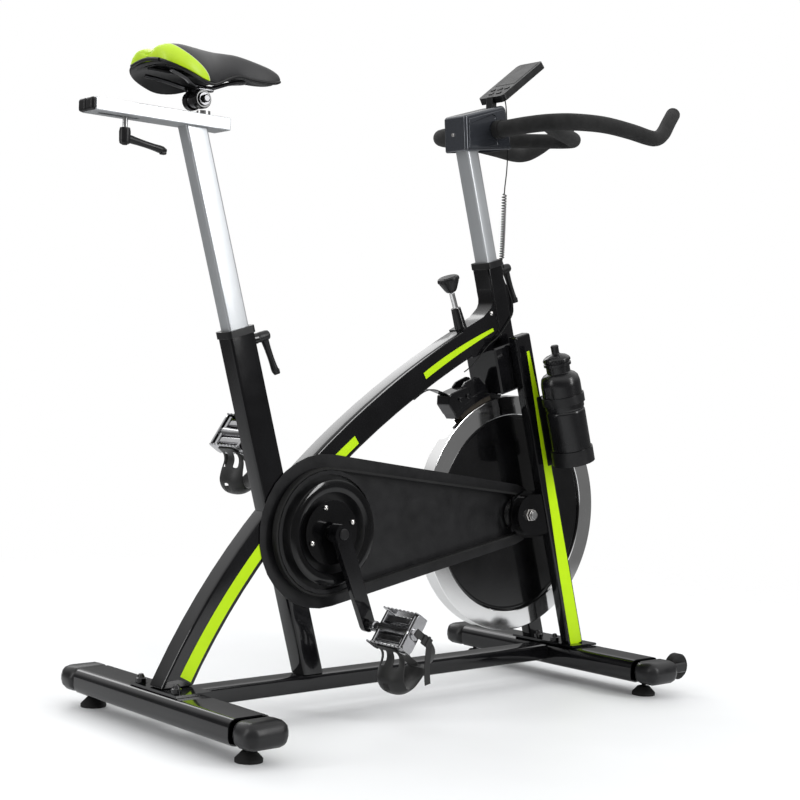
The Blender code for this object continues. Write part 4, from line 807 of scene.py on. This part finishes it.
def pedal_pieces(word, hand):
    """Cage pedal: alloy body, toothed plates, end plate, spindle."""
    at = pedal_at(hand)
    across = Matrix.Rotation(math.radians(90), 4, "X")
    outer = hand * 0.0435
    barrel = mm((0, 41), (8.5, 41), (11.5, 34), (9, 12), (9, -12), (11.5, -34), (8.5, -41), (0, -41))
    pieces = [turned("barrel", barrel, at @ across, ALLOY, 40)]
    for side in (-0.034, 0.034):
        pieces.append(box("web", (0.06, 0.007, 0.019), at @ Matrix.Translation((0, side, 0)), ALLOY, 0.002))
    for ahead in (-0.0175, 0.0175):
        pieces.append(box("window", (0.013, 0.062, 0.0145), at @ Matrix.Translation((ahead, 0, 0)), CAP_PLASTIC,
            0.003))
    teeth = []
    for k in range(9):
        y = -0.045 + 0.01 * k
        teeth += [(y, 0.0105), (y + 0.0035, 0.0148), (y + 0.0065, 0.0148)]
    teeth.append((0.045, 0.0105))
    plate = teeth + [(y, -z) for y, z in reversed(teeth)]
    face = Matrix.Rotation(math.radians(90), 4, "Z") @ Matrix.Rotation(math.radians(90), 4, "X")
    for ahead in (-0.032, 0.032):
        pieces.append(outline("toothed_plate", [plate], 0.0022, at @ Matrix.Translation((ahead, 0, 0)) @ face,
                              CAP_PLASTIC, 0.0005, 2))
    end = outline("end_plate", [rounded_rect(0.066, 0.024, 0.008)], 0.004,
                  at @ Matrix.Translation((0, outer, 0)) @ across, CAP_PLASTIC, 0.001)
    pieces.append(end)
    hub = mm((0, 3), (8.5, 3), (10, 1.5), (10, -3), (0, -3))
    flip = across if hand == RIGHT else Matrix.Rotation(math.radians(-90), 4, "X")
    pieces.append(turned("end_hub", hub, at @ Matrix.Translation((0, hand * 0.0465, 0)) @ flip, CAP_PLASTIC, 32))
    spindle = mm((0, 38), (6, 38), (6.2, 14), (9.2, 13), (9.2, 6), (7.5, 4), (7.5, -6), (0, -6))
    inward = Matrix.Rotation(math.radians(90 * hand), 4, "X")
    pieces.append(turned("spindle", spindle, at @ Matrix.Translation((0, -hand * 0.047, 0)) @ inward, STEEL, 28))
    finish_piece(merge("pedal_body_" + word, pieces), "pedal_" + word, "pedal_alloy", "pedal_" + word)


def toe_pieces(word, hand):
    """Moulded toe cup with openings, and the strap with its buckle and loose tail."""
    at = pedal_at(hand)
    path = smooth_route([Vector((0.0345, 0, -0.008)), Vector((0.035, 0, 0.006)), Vector((0.044, 0, 0.016)),
                         Vector((0.062, 0, 0.02)), Vector((0.08, 0, 0.028)), Vector((0.09, 0, 0.044)),
                         Vector((0.086, 0, 0.06)), Vector((0.07, 0, 0.072)), Vector((0.046, 0, 0.077)),
                         Vector((0.026, 0, 0.076))], 31)
    bm = bmesh.new()
    rows = []
    count = 13
    for i, point in enumerate(path):
        share = i / 30
        after, before = path[min(i + 1, 30)], path[max(i - 1, 0)]
        tangent = (after - before).normalized()
        inward = Vector((-tangent.z, 0, tangent.x))
        half = 0.022 + 0.014 * math.sin(math.pi * min(share / 0.62, 1.0) * 0.5) - 0.01 * max(share - 0.62, 0) / 0.38
        row = []
        for j in range(count):
            v = -1 + 2 * j / (count - 1)
            curl = 0.013 * abs(v) ** 2.6 * math.sin(math.pi * min(max(share - 0.1, 0) / 0.9, 1.0)) ** 0.8
            row.append(bm.verts.new(point + Vector((0, v * half, 0)) + inward * curl))
        rows.append(row)
    openings = {(i, j) for i in range(3, 9) for j in (2, 3, 8, 9)} | {(i, j) for i in range(14, 17) for j in (5, 6)}
    for i in range(30):
        for j in range(count - 1):
            if (i, j) not in openings:
                bm.faces.new((rows[i][j], rows[i][j + 1], rows[i + 1][j + 1], rows[i + 1][j]))
    cup = from_bmesh("toe_cup_" + word, bm, STRAP, at)
    walled(cup, 0.0022, 0.0)
    finish_piece(rounded(cup), "pedal_" + word, "cap_plastic", "toe_clip_" + word)

    around = smooth_route([Vector((-0.004, hand * 0.05, -0.004)), Vector((-0.002, hand * 0.053, 0.02)),
                           Vector((0.004, hand * 0.047, 0.05)), Vector((0.016, hand * 0.028, 0.074)),
                           Vector((0.024, 0.0, 0.082)), Vector((0.018, -hand * 0.026, 0.074)),
                           Vector((0.006, -hand * 0.04, 0.048)), Vector((-0.002, -hand * 0.0415, 0.018)),
                           Vector((-0.004, -hand * 0.04, -0.004))], 49)
    lean = Vector((0.9, 0, -0.3)).normalized()
    strap = ribbon("strap_loop", [at @ p for p in around], [(at.to_3x3() @ lean)] * 49, 0.0125, 0.0014, STRAP)
    toe_down = at.inverted().to_3x3() @ Vector((0, 0, -1))
    start = Vector((0.0, hand * 0.0545, 0.03))
    back = at.inverted().to_3x3() @ Vector((-1, 0, 0))
    tail_points = [start + toe_down * (0.0095 * k) + back * (0.0045 * math.sin(k / 2.2))
                   + Vector((0, hand, 0)) * 0.0016 * math.sin(k / 1.8) for k in range(8)]
    tail_route = smooth_route(tail_points, 29)
    wide = at.to_3x3() @ back
    tail = ribbon("strap_tail", [at @ p for p in tail_route], [wide] * 29, 0.012, 0.0013, STRAP)
    buckle = box("buckle", (0.017, 0.005, 0.02), at @ Matrix.Translation((-0.001, hand * 0.0545, 0.022)), TRIM,
                 0.0015)
    bar = box("buckle_bar", (0.019, 0.0022, 0.004), at @ Matrix.Translation((-0.001, hand * 0.0575, 0.022)), TRIM,
              0.0008)
    finish_piece(merge("toe_strap_" + word, [strap, tail, buckle, bar]), "pedal_" + word, "cap_plastic")


def ribbon(name, points, wides, width, thickness, mat):
    """A flat strap along the points; wides give its width direction at each."""
    rings = []
    last = len(points) - 1
    for i, point in enumerate(points):
        tangent = (points[min(i + 1, last)] - points[max(i - 1, 0)]).normalized()
        wide = (wides[i] - tangent * wides[i].dot(tangent)).normalized() * width / 2
        thick = tangent.cross(wide).normalized() * thickness / 2
        rings.append([point + wide + thick, point - wide + thick, point - wide - thick, point + wide - thick])
    return loft(name, rings, mat)


# ---------------------------------------------------------------- saddle
STATIONS = ((-0.0725, 0.034, 1.067, 1.05), (-0.069, 0.054, 1.073, 1.0445), (-0.056, 0.07, 1.0785, 1.037),
            (-0.035, 0.0775, 1.081, 1.0285), (-0.01, 0.0755, 1.08, 1.0205), (0.015, 0.062, 1.08, 1.021),
            (0.04, 0.043, 1.081, 1.0295), (0.065, 0.03, 1.083, 1.0405), (0.09, 0.022, 1.084, 1.0485),
            (0.12, 0.018, 1.081, 1.0475), (0.155, 0.015, 1.075, 1.049), (0.174, 0.0115, 1.0685, 1.053),
            (0.182, 0.005, 1.062, 1.058))


def saddle_at(share):
    """Forward, half width, top and lower edge of the saddle, share from 0 at the tail to 1 at the nose."""
    at = share * (len(STATIONS) - 1)
    i = min(int(at), len(STATIONS) - 2)
    rows = [STATIONS[min(max(k, 0), len(STATIONS) - 1)] for k in range(i - 1, i + 3)]
    return [through(*values, at - i) for values in zip(*rows)]


def saddle_arch(top, edge, share):
    """Height of the arched underside at a share of the half width."""
    middle = max(edge + 0.004, top - 0.026)
    return edge + (middle - edge) * (1 - share ** 2.4)


def saddle_pad():
    """Sculpted pad: two tail lobes with a hollow between them, deep sides and a narrow falling nose."""
    lengths, across, under = 61, 17, 8
    bm = bmesh.new()
    rings = []
    for i in range(lengths):
        ahead, half, top, edge = saddle_at(i / (lengths - 1))
        groove = 0.0075 * math.exp(-((ahead + 0.07) / 0.075) ** 2) + 0.0008
        over = []
        for j in range(across):
            angle = math.pi / 2 * j / (across - 1)
            y = half * math.sin(angle) ** 0.78 * (1 - 0.05 * (j / (across - 1)) ** 6)
            lift = max(1 - math.sin(angle) ** 2.6, 0.0) ** 0.62
            z = edge + (top - edge) * lift - groove * math.exp(-(y / (0.3 * half + 0.002)) ** 2)
            over.append((y, z))
        below = []
        for j in range(1, under + 1):
            share = 0.95 * (1 - j / under)
            below.append((half * share, saddle_arch(top, edge, share / 0.95)))
        loop = [(-y, z) for y, z in reversed(over)] + over[1:] + below + [(-y, z) for y, z in below[-2::-1]]
        scoop = 0.006 * math.exp(-(i / 5) ** 2)
        rings.append([spot(ahead + scoop * math.exp(-(y / 0.018) ** 2), y, z) for y, z in loop])
    made = [[bm.verts.new(p) for p in ring] for ring in rings]
    size = len(made[0])
    for ring, after in zip(made, made[1:]):
        for j in range(size):
            bm.faces.new((ring[j], ring[(j + 1) % size], after[(j + 1) % size], after[j]))
    for ring in (made[0], made[-1]):
        center = bm.verts.new(sum((v.co for v in ring), Vector()) / size)
        for j in range(size):
            bm.faces.new((ring[j], ring[(j + 1) % size], center))
    obj = from_bmesh("saddle_cushion", bm, SADDLE)
    obj = finish_piece(rounded(obj), "saddle", "saddle_cover", "saddle_pad")


def saddle_shell():
    """Black moulded base under the pad: an arched shell with a rolled lip and two ribs."""
    lengths, across = 49, 13
    bm = bmesh.new()
    rows = []
    for i in range(lengths):
        ahead, half, top, edge = saddle_at(0.06 + 0.86 * i / (lengths - 1))
        row = []
        for j in range(across):
            share = -1 + 2 * j / (across - 1)
            z = saddle_arch(top, edge, abs(share)) - 0.0016
            row.append(bm.verts.new(spot(ahead, half * 0.93 * share, z)))
        rows.append(row)
    for row, after in zip(rows, rows[1:]):
        for j in range(across - 1):
            bm.faces.new((row[j], row[j + 1], after[j + 1], after[j]))
    shell = from_bmesh("shell", bm, CAP_PLASTIC)
    walled(shell, 0.0024, 1.0 if shell.data.polygons[0].normal.z < 0 else -1.0)
    pieces = [shell]
    for hand in (RIGHT, LEFT):
        lip = []
        for i in range(41):
            ahead, half, top, edge = saddle_at(0.045 + 0.9 * i / 40)
            lip.append(spot(ahead, hand * half * 0.915, edge - 0.0006))
        pieces.append(tube("lip", lip, 0.0026, CAP_PLASTIC, 3))
        rib = [spot(-0.052 + 0.01 * k, hand * (0.026 - 0.0012 * k), 1.0462 - 0.0003 * k) for k in range(9)]
        pieces.append(tube("rib", rib, 0.003, CAP_PLASTIC, 3))
    ahead, half, top, edge = saddle_at(0.045)
    bridge = [spot(ahead - 0.002, -half * 0.915 + 2 * half * 0.915 * k / 16, edge - 0.0006
                   + 0.005 * math.sin(math.pi * k / 16)) for k in range(17)]
    pieces.append(tube("tail_lip", bridge, 0.003, CAP_PLASTIC, 3))
    patch = Matrix.Translation(spot(-0.058, 0.01, 1.0475))
    pieces.append(box("tail_badge_blank", (0.003, 0.026, 0.005), patch, LIME, 0.0008))
    finish_piece(merge("saddle_shell", pieces), "saddle", "cap_plastic", "saddle_base")


def clamp_details():
    """Bolt heads, washers and rail grips on the barrel, with a bridge between the grips and an ear at the pivot."""
    pieces = []
    for hand in (RIGHT, LEFT):
        flip = flipped(hand)
        washer = mm((5.8, 24.2), (10, 24.2), (10.8, 23.4), (10.8, 21.4), (5.8, 21.4))
        pieces.append(turned("washer", washer, cross(*SADDLE_PIVOT) @ flip, RAIL, 40, closed=True))
        head = mm((0, 30.2), (4.6, 30.2), (6.2, 29.2), (6.2, 24.4), (0, 24.4))
        pieces.append(turned("bolt", head, cross(*SADDLE_PIVOT) @ flip, SCREW, 24))
        grip = Matrix.Translation(spot(0.027, hand * 0.015, 1.0186))
        pieces.append(box("rail_grip", (0.03, 0.0095, 0.006), grip, PAINT, 0.002))
    pieces.append(box("grip_bridge", (0.012, 0.03, 0.007), Matrix.Translation(spot(0.0225, 0, 1.0182)), PAINT,
                      0.002))
    ear = outline("ear", [hull_of_circles((0.0225, 1.003), 0.0128, (0.034, 1.004), 0.0085, 12)], 0.013,
                  side_plane(0.0), PAINT, 0.0015)
    pieces.append(ear)
    finish_piece(merge("saddle_clamp_bolts", pieces), "saddle", "plain_steel")


# ---------------------------------------------------------------- levers, knob, brake
def lever(name, matrix, reach, drop, body):
    """Indexing lever: turned hub with a steel button, tapering arm with a raised thumb rest at its end."""
    hub = mm((0, 25), (6, 25), (7.8, 23.6), (8.6, 20), (9, 6), (7.8, 0), (0, 0))
    pieces = [turned("hub", hub, matrix, CAP_PLASTIC, 36)]
    run = Vector((reach, 0, drop))
    start = Vector((0.002, 0, 0.015))
    points = [matrix @ (start + run * (k / 12)) for k in range(13)]
    radii = [1.0, 0.98, 0.92, 0.86, 0.82, 0.8, 0.78, 0.78, 0.8, 0.84, 0.9, 0.88, 0.55]
    pieces.append(tube("arm", points, 0.0068, CAP_PLASTIC, 5, radii))
    tip = matrix @ Matrix.Translation(start + run * 0.93 + Vector((0, 0, 0.0042)))
    pieces.append(box("thumb_rest", (0.01, 0.0085, 0.0055), tip, CAP_PLASTIC, 0.002))
    button = mm((0, 26.2), (3.8, 26.2), (4.2, 25.2), (4.2, 24.5), (0, 24.5))
    pieces.append(turned("button", button, matrix, STEEL, 20))
    finish_piece(merge("lever_" + name, pieces), body, "cap_plastic", name)


def all_levers():
    down = Matrix.Rotation(math.radians(180), 4, "X")
    under = Matrix.Translation(spot(-0.106, 0, 0.959 - 0.0165)) @ down
    lever("seat_rail_lever", under, 0.072, 0.012, "seat_rail_lever")
    forward = Matrix.Rotation(math.radians(90), 4, "Y")
    lever("seat_post_lever", lean_matrix(SEAT_TOP, -0.024, 0.0375) @ forward, 0.066, 0.01, "seat_post_lever")
    lever("head_lever", lean_matrix(HEAD_TOP, -0.022, 0.0305) @ forward, 0.066, 0.01, "head_lever")


def knob():
    """Tapered knob with a silver top and grip ribs; the rod below it wears a bright sleeve."""
    at = knob_frame(0.0755)
    skirt = mm((0, 17), (17.8, 17), (19.2, 16.2), (19.8, 14.8), (19.6, 10.5), (18, 6), (12, -6.2), (9.8, -9.6),
        (8, -11.2), (0, -11.8))
    top = mm((0, 18.6), (13, 18.4), (16.2, 17.8), (16.2, 16.6), (0, 16.6))
    pieces = [turned("knob_skirt", skirt, at, CAP_PLASTIC, 56), turned("knob_top", top, at, TRIM, 56)]
    for k in range(10):
        turn = Matrix.Rotation(2 * math.pi * k / 10, 4, "Z") @ Matrix.Translation((0.0192, 0, 0.012))
        pieces.append(box("grip_rib", (0.0026, 0.005, 0.006), at @ turn, CAP_PLASTIC, 0.001, 2))
    finish_piece(merge("resistance_knob", pieces), "tension_knob", "cap_plastic", "tension_knob")
    sleeve = mm((0, 62.8), (4, 62.8), (4.3, 61.8), (4.3, 36.5), (4, 35.5), (0, 35.5))
    finish_piece(turned("rod_sleeve", sleeve, knob_frame(0.0), TRIM, 28), "tension_rod", "plain_steel")


def brake():
    """Pad holder with a bolted block and two cheeks, hung on a bright bent leaf."""
    base = arc(FLYWHEEL_AT, 0.248, 108, 131, 10) + arc(FLYWHEEL_AT, 0.2335, 131, 108, 10)
    block = arc(FLYWHEEL_AT, 0.244, 131, 119, 6) + mm((630, 547), (624, 560), (614, 560), (581, 548), (575, 543),
        (574.8, 527))
    pieces = [outline("holder_base", [base], 0.03, side_plane(0.0), PAINT, 0.0012),
              outline("holder_block", [block], 0.034, side_plane(0.0), PAINT, 0.002)]
    for side in (-0.0128, 0.0128):
        cheek = arc(FLYWHEEL_AT, 0.244, 120, 109, 6) + mm((669, 564), (650, 579), (642, 579.5), (616, 569),
            (609, 560))
        pieces.append(outline("cheek", [cheek], 0.004, side_plane(side), PAINT, 0.0008))
    for ahead, high in ((0.603, 0.537), (0.6215, 0.544)):
        head = mm((0, 21.5), (3.4, 21.1), (5, 19.4), (5, 16.5), (0, 16.5))
        pieces.append(turned("holder_bolt", head, cross(ahead, high), SCREW, 20))
    route = smooth_route(spots((496, 0, 535.2), (510, 0, 544.8), (522.9, 0, 551), (537, 0, 553.6), (550, 0, 553),
        (582, 0, 544)), 33)
    wide = [Vector((0, 1, 0))] * 33
    pieces.append(ribbon("leaf", route, wide, 0.022, 0.0016, TRIM))
    finish_piece(merge("brake_assembly", pieces), "brake", "frame_paint", "brake_arm")


# ---------------------------------------------------------------- bars and console
def end_plug(end, before, radius):
    """Rounded foam end for a bar of this radius."""
    aim = (end - before).to_track_quat("Z", "Y").to_matrix().to_4x4()
    profile = [(radius * math.sin(math.radians(a)), radius * 0.8 * math.cos(math.radians(a))) for a in range(0,
        91, 15)]
    return turned("plug", profile + [(radius, -0.003), (0.0, -0.003)], Matrix.Translation(end) @ aim, FOAM, 40)


def handlebar():
    """Foam-covered bar: across the stem and forward into horns, with a pointed loop between them."""
    half_route = [(BAR_AT[0], 0.0, BAR_AT[1]), (BAR_AT[0], 0.06, BAR_AT[1]), (0.665, 0.105, 1.0385),
                  (0.682, 0.145, 1.041), (0.722, 0.168, 1.0445), (0.79, 0.177, 1.0475), (0.86, 0.179, 1.0445),
                  (0.915, 0.178, 1.04), (0.945, 0.174, 1.043), (0.972, 0.166, 1.057), (1.002, 0.153, 1.081),
                  (1.033, 0.138, 1.103)]
    left = [spot(a, b, c) for a, b, c in half_route]
    right = [spot(a, -b, c) for a, b, c in half_route[1:]]
    route = smooth_route(right[::-1] + left, 177)
    radii = [0.97 - 0.1 * min(max(abs(i - 88) - 30, 0) / 50, 1.0) for i in range(177)]
    radius = 0.016 * radii[0]
    loop = mm((680, 138.5, 1040), (739, 103.4, 1039.5), (808, 62, 1043), (864, 28.5, 1046.2), (887, 13, 1047.6),
        (894, 0, 1048))
    ahead = [spot(a, b, c) for a, b, c in loop]
    back = [spot(a, -b, c) for a, b, c in loop[:-1]]
    pieces = [tube("bar", route, 0.016, FOAM, 8, radii),
              tube("loop", smooth_route(ahead + back[::-1], 121), 0.0143, FOAM, 8)]
    pieces += [end_plug(route[0], route[1], radius), end_plug(route[-1], route[-2], radius)]
    for hand in (RIGHT, LEFT):
        at = cross(BAR_AT[0], BAR_AT[1], 0.0) @ Matrix.Translation((0, 0, hand * 0.037))
        sleeve = mm((16.2, 7), (17.2, 6), (17.2, -6), (16.2, -7))
        pieces.append(turned("sleeve", sleeve, at, CAP_PLASTIC, 48, closed=True))
    finish_piece(merge("foam_handlebar", pieces), "handlebar_post", "bar_foam", "handlebar")


STEM_LOOP = mm((580, 1053.5), (586, 988.5), (704, 1005.5), (684.5, 1079), (676.5, 1084.3))
STEM_WIDTH = 0.058


def stem_cover():
    """Moulded cover with a dished panel on each side, a rolled lower rim and a screw behind."""
    obj = baked(outline("cover", [STEM_LOOP], STEM_WIDTH, side_plane(0.0), GREY_SHELL, 0.007, 5))
    inside = mm((583.5, 1051), (589, 970), (701, 985), (682.5, 1077), (676, 1081.5))
    obj = cut(obj, outline("cover_inside", [inside], STEM_WIDTH - 0.005, side_plane(0.0), None))
    obj = cut(obj, post_hole(0.0166))
    finish_piece(obj, "handlebar_post", "console_grey", "stem_cover")
    for word, hand in (("right", RIGHT), ("left", LEFT)):
        frame_loop = mm((588.5, 1047), (593, 994.5), (696.5, 1009), (680, 1071.5), (674.5, 1076))
        dish = mm((594.5, 1041), (599, 998.5), (666, 1008), (657, 1061), (648, 1064))
        plane = side_plane(hand * (STEM_WIDTH / 2 + 0.0006))
        panel = baked(outline("stem_panel_" + word, [frame_loop], 0.0022, plane, GREY_SHELL, 0.0009, 3))
        well = side_plane(hand * (STEM_WIDTH / 2 + 0.0016))
        panel = cut(panel, baked(outline("well", [dish], 0.003, well, None, 0.0014, 3)))
        finish_piece(cut(panel, post_hole(0.0168)), "handlebar_post", "console_grey")
    rear = Matrix.Translation(spot(0.5822, 0.004, 1.02)) @ Matrix.Rotation(math.radians(-95), 4, "Y")
    dome = mm((0, 2), (2.8, 1.6), (3.6, 0), (3.6, -2), (0, -2))
    finish_piece(turned("cover_screw_head", dome, rear, SCREW, 24), "handlebar_post", "plain_steel")


def console():
    """Slim computer: dark glass face, silver band round its edge, holder plate and foot."""
    tilt = Matrix.Rotation(-CONSOLE_TILT, 4, "Y")
    length, width = 0.134, 0.066
    corner = Matrix.Translation(spot(CONSOLE_LOW[0], 0, CONSOLE_LOW[1])) @ tilt
    middle = corner @ Matrix.Translation((length / 2, 0, 0))
    pieces = [outline("case", [rounded_rect(length, width, 0.009, 8)], 0.0046,
        middle @ Matrix.Translation((0, 0, -0.0107)), CAP_PLASTIC, 0.0015, 3),
        outline("band", [rounded_rect(length - 0.0005, width - 0.0005, 0.009, 8)], 0.005,
        middle @ Matrix.Translation((0, 0, -0.006)), TRIM, 0.001, 3), outline("face",
        [rounded_rect(length - 0.001, width - 0.001, 0.0088, 8)], 0.0036,
        middle @ Matrix.Translation((0, 0, -0.0018)), GLASS, 0.0012, 3),
        outline("display", [rounded_rect(0.078, 0.052, 0.003, 5)], 0.0005,
        middle @ Matrix.Translation((0.02, 0, 0.0002)), DISPLAY, 0.0002, 1), ]
    for ahead, sides in ((-0.034, (-0.018, 0.0, 0.018)), (-0.05, (-0.01, 0.01))):
        for side in sides:
            pieces.append(outline("button", [rounded_rect(0.0085, 0.0125, 0.004, 6)], 0.0014,
                                  middle @ Matrix.Translation((ahead, side, 0.0004)), CAP_PLASTIC, 0.0004, 2))
    pieces.append(outline("holder", [rounded_rect(0.096, 0.04, 0.006, 6)], 0.0034,
                          corner @ Matrix.Translation((0.072, 0, -0.0158)), CAP_PLASTIC, 0.001, 2))
    pieces.append(box("foot", (0.012, 0.018, 0.026), Matrix.Translation(spot(0.6735, 0, 1.089)), CAP_PLASTIC,
        0.002))
    finish_piece(merge("console_unit", pieces), "handlebar_post", "console_grey", "console")


# ---------------------------------------------------------------- bottle
def bottle_at(along):
    return lean_matrix(HEAD_TOP, along, BOTTLE_ACROSS, BOTTLE_SIDE)


def bottle_pieces():
    height, r = 0.158, 0.037
    body = [(0.0, height + 0.0255), (0.0222, height + 0.0255), (0.0222, height + 0.014), (0.024, height + 0.012),
        (0.03, height + 0.009), (0.0345, height + 0.004), (r - 0.0006, height - 0.004), (r, height - 0.01),
        (r, height * 0.66), (r - 0.0005, height * 0.645), (r - 0.0016, height * 0.635),
        (r - 0.0016, height * 0.625), (r - 0.0005, height * 0.615), (r, height * 0.6), (r, 0.009),
        (r - 0.0012, 0.004), (r - 0.005, 0.0008), (r - 0.008, 0.0004), (0.0, 0.0016)]
    finish_piece(turned("drinking_bottle", body, bottle_at(-0.39), BOTTLE, 96), "bottle", "cap_plastic", "bottle")
    cap = mm((0, 38.5), (6, 38.5), (7.8, 36.5), (7.2, 33), (7.2, 24), (10, 21.5), (19, 18.5), (23.8, 15),
        (25, 12.8), (25, 8.5), (23.6, 7.5), (23.6, 6.5), (25.5, 5), (25.5, 0.4), (0, 0.4))
    pieces = [turned("cap", cap, bottle_at(-0.206), BOTTLE, 72)]
    for k in range(24):
        turn = Matrix.Rotation(2 * math.pi * k / 24, 4, "Z") @ Matrix.Translation((0.0249, 0, 0.0106))
        pieces.append(box("rib", (0.0016, 0.0028, 0.0042), bottle_at(-0.206) @ turn, BOTTLE, 0.0005, 1))
    finish_piece(merge("drinking_cap", pieces), "bottle_cap", "cap_plastic", "bottle_cap")


# ---------------------------------------------------------------- studio
def area_light(name, where, aim, size, power, tall=None):
    data = bpy.data.lights.new(name, "AREA")
    data.shape = "RECTANGLE"
    data.size = size
    data.size_y = tall or size
    data.energy = power
    light = bpy.data.objects.new(name, data)
    way = (Vector(aim) - Vector(where)).to_track_quat("-Z", "Y")
    light.matrix_world = Matrix.Translation(where) @ way.to_matrix().to_4x4()
    bpy.context.scene.collection.objects.link(light)


def studio_world():
    """White to the camera; for the light, a bright dome that falls to dim grey at the horizon."""
    world = bpy.data.worlds.new("studio")
    world.use_nodes = True
    nodes, links = world.node_tree.nodes, world.node_tree.links
    where = nodes.new("ShaderNodeTexCoord")
    split = nodes.new("ShaderNodeSeparateXYZ")
    links.new(where.outputs["Generated"], split.inputs["Vector"])
    rise = map_range(nodes, links, split.outputs["Z"], SKY_RISE, SKY_LIGHT, True)
    path = nodes.new("ShaderNodeLightPath")
    pick = nodes.new("ShaderNodeMix")
    pick.inputs["B"].default_value = 1.0
    links.new(path.outputs["Is Camera Ray"], pick.inputs["Factor"])
    links.new(rise, pick.inputs["A"])
    links.new(pick.outputs["Result"], nodes["Background"].inputs["Strength"])
    nodes["Background"].inputs["Color"].default_value = (1.0, 1.0, 1.0, 1.0)
    bpy.context.scene.world = world


def studio():
    bpy.context.scene.view_settings.view_transform = "Standard"
    studio_world()
    bm = bmesh.new()
    bmesh.ops.create_grid(bm, x_segments=2, y_segments=2, size=14.0)
    floor = from_bmesh("studio_floor", bm, FLOOR)
    area_light("key", (1.5, -3.2, 1.9), (0.1, 0, 0.6), 0.5, 62, 2.4)
    area_light("left", (-3.2, 0.9, 1.3), (0, 0, 0.6), 0.3, 30, 2.4)
    area_light("back", (0.6, 3.0, 2.4), (0, 0, 0.6), 2.0, 24, 1.4)


add_camera()
sensor_cable()
dress_nodes()
main_stripes()
head_elbow()
fork_stripes()
tube_collar("seat_tube_collar", SEAT_TOP, (0.056, 0.04), (0.0425, 0.0295), -0.004)
tube_collar("head_tube_collar", HEAD_TOP, (0.042, 0.048), (0.0305, 0.0365), -0.004)
small_hardware()
flywheel_pieces()
belt_guard()
for word, hand in (("right", RIGHT), ("left", LEFT)):
    pedal_pieces(word, hand)
    toe_pieces(word, hand)
saddle_pad()
saddle_shell()
clamp_details()
all_levers()
knob()
brake()
handlebar()
stem_cover()
console()
bottle_pieces()
studio()
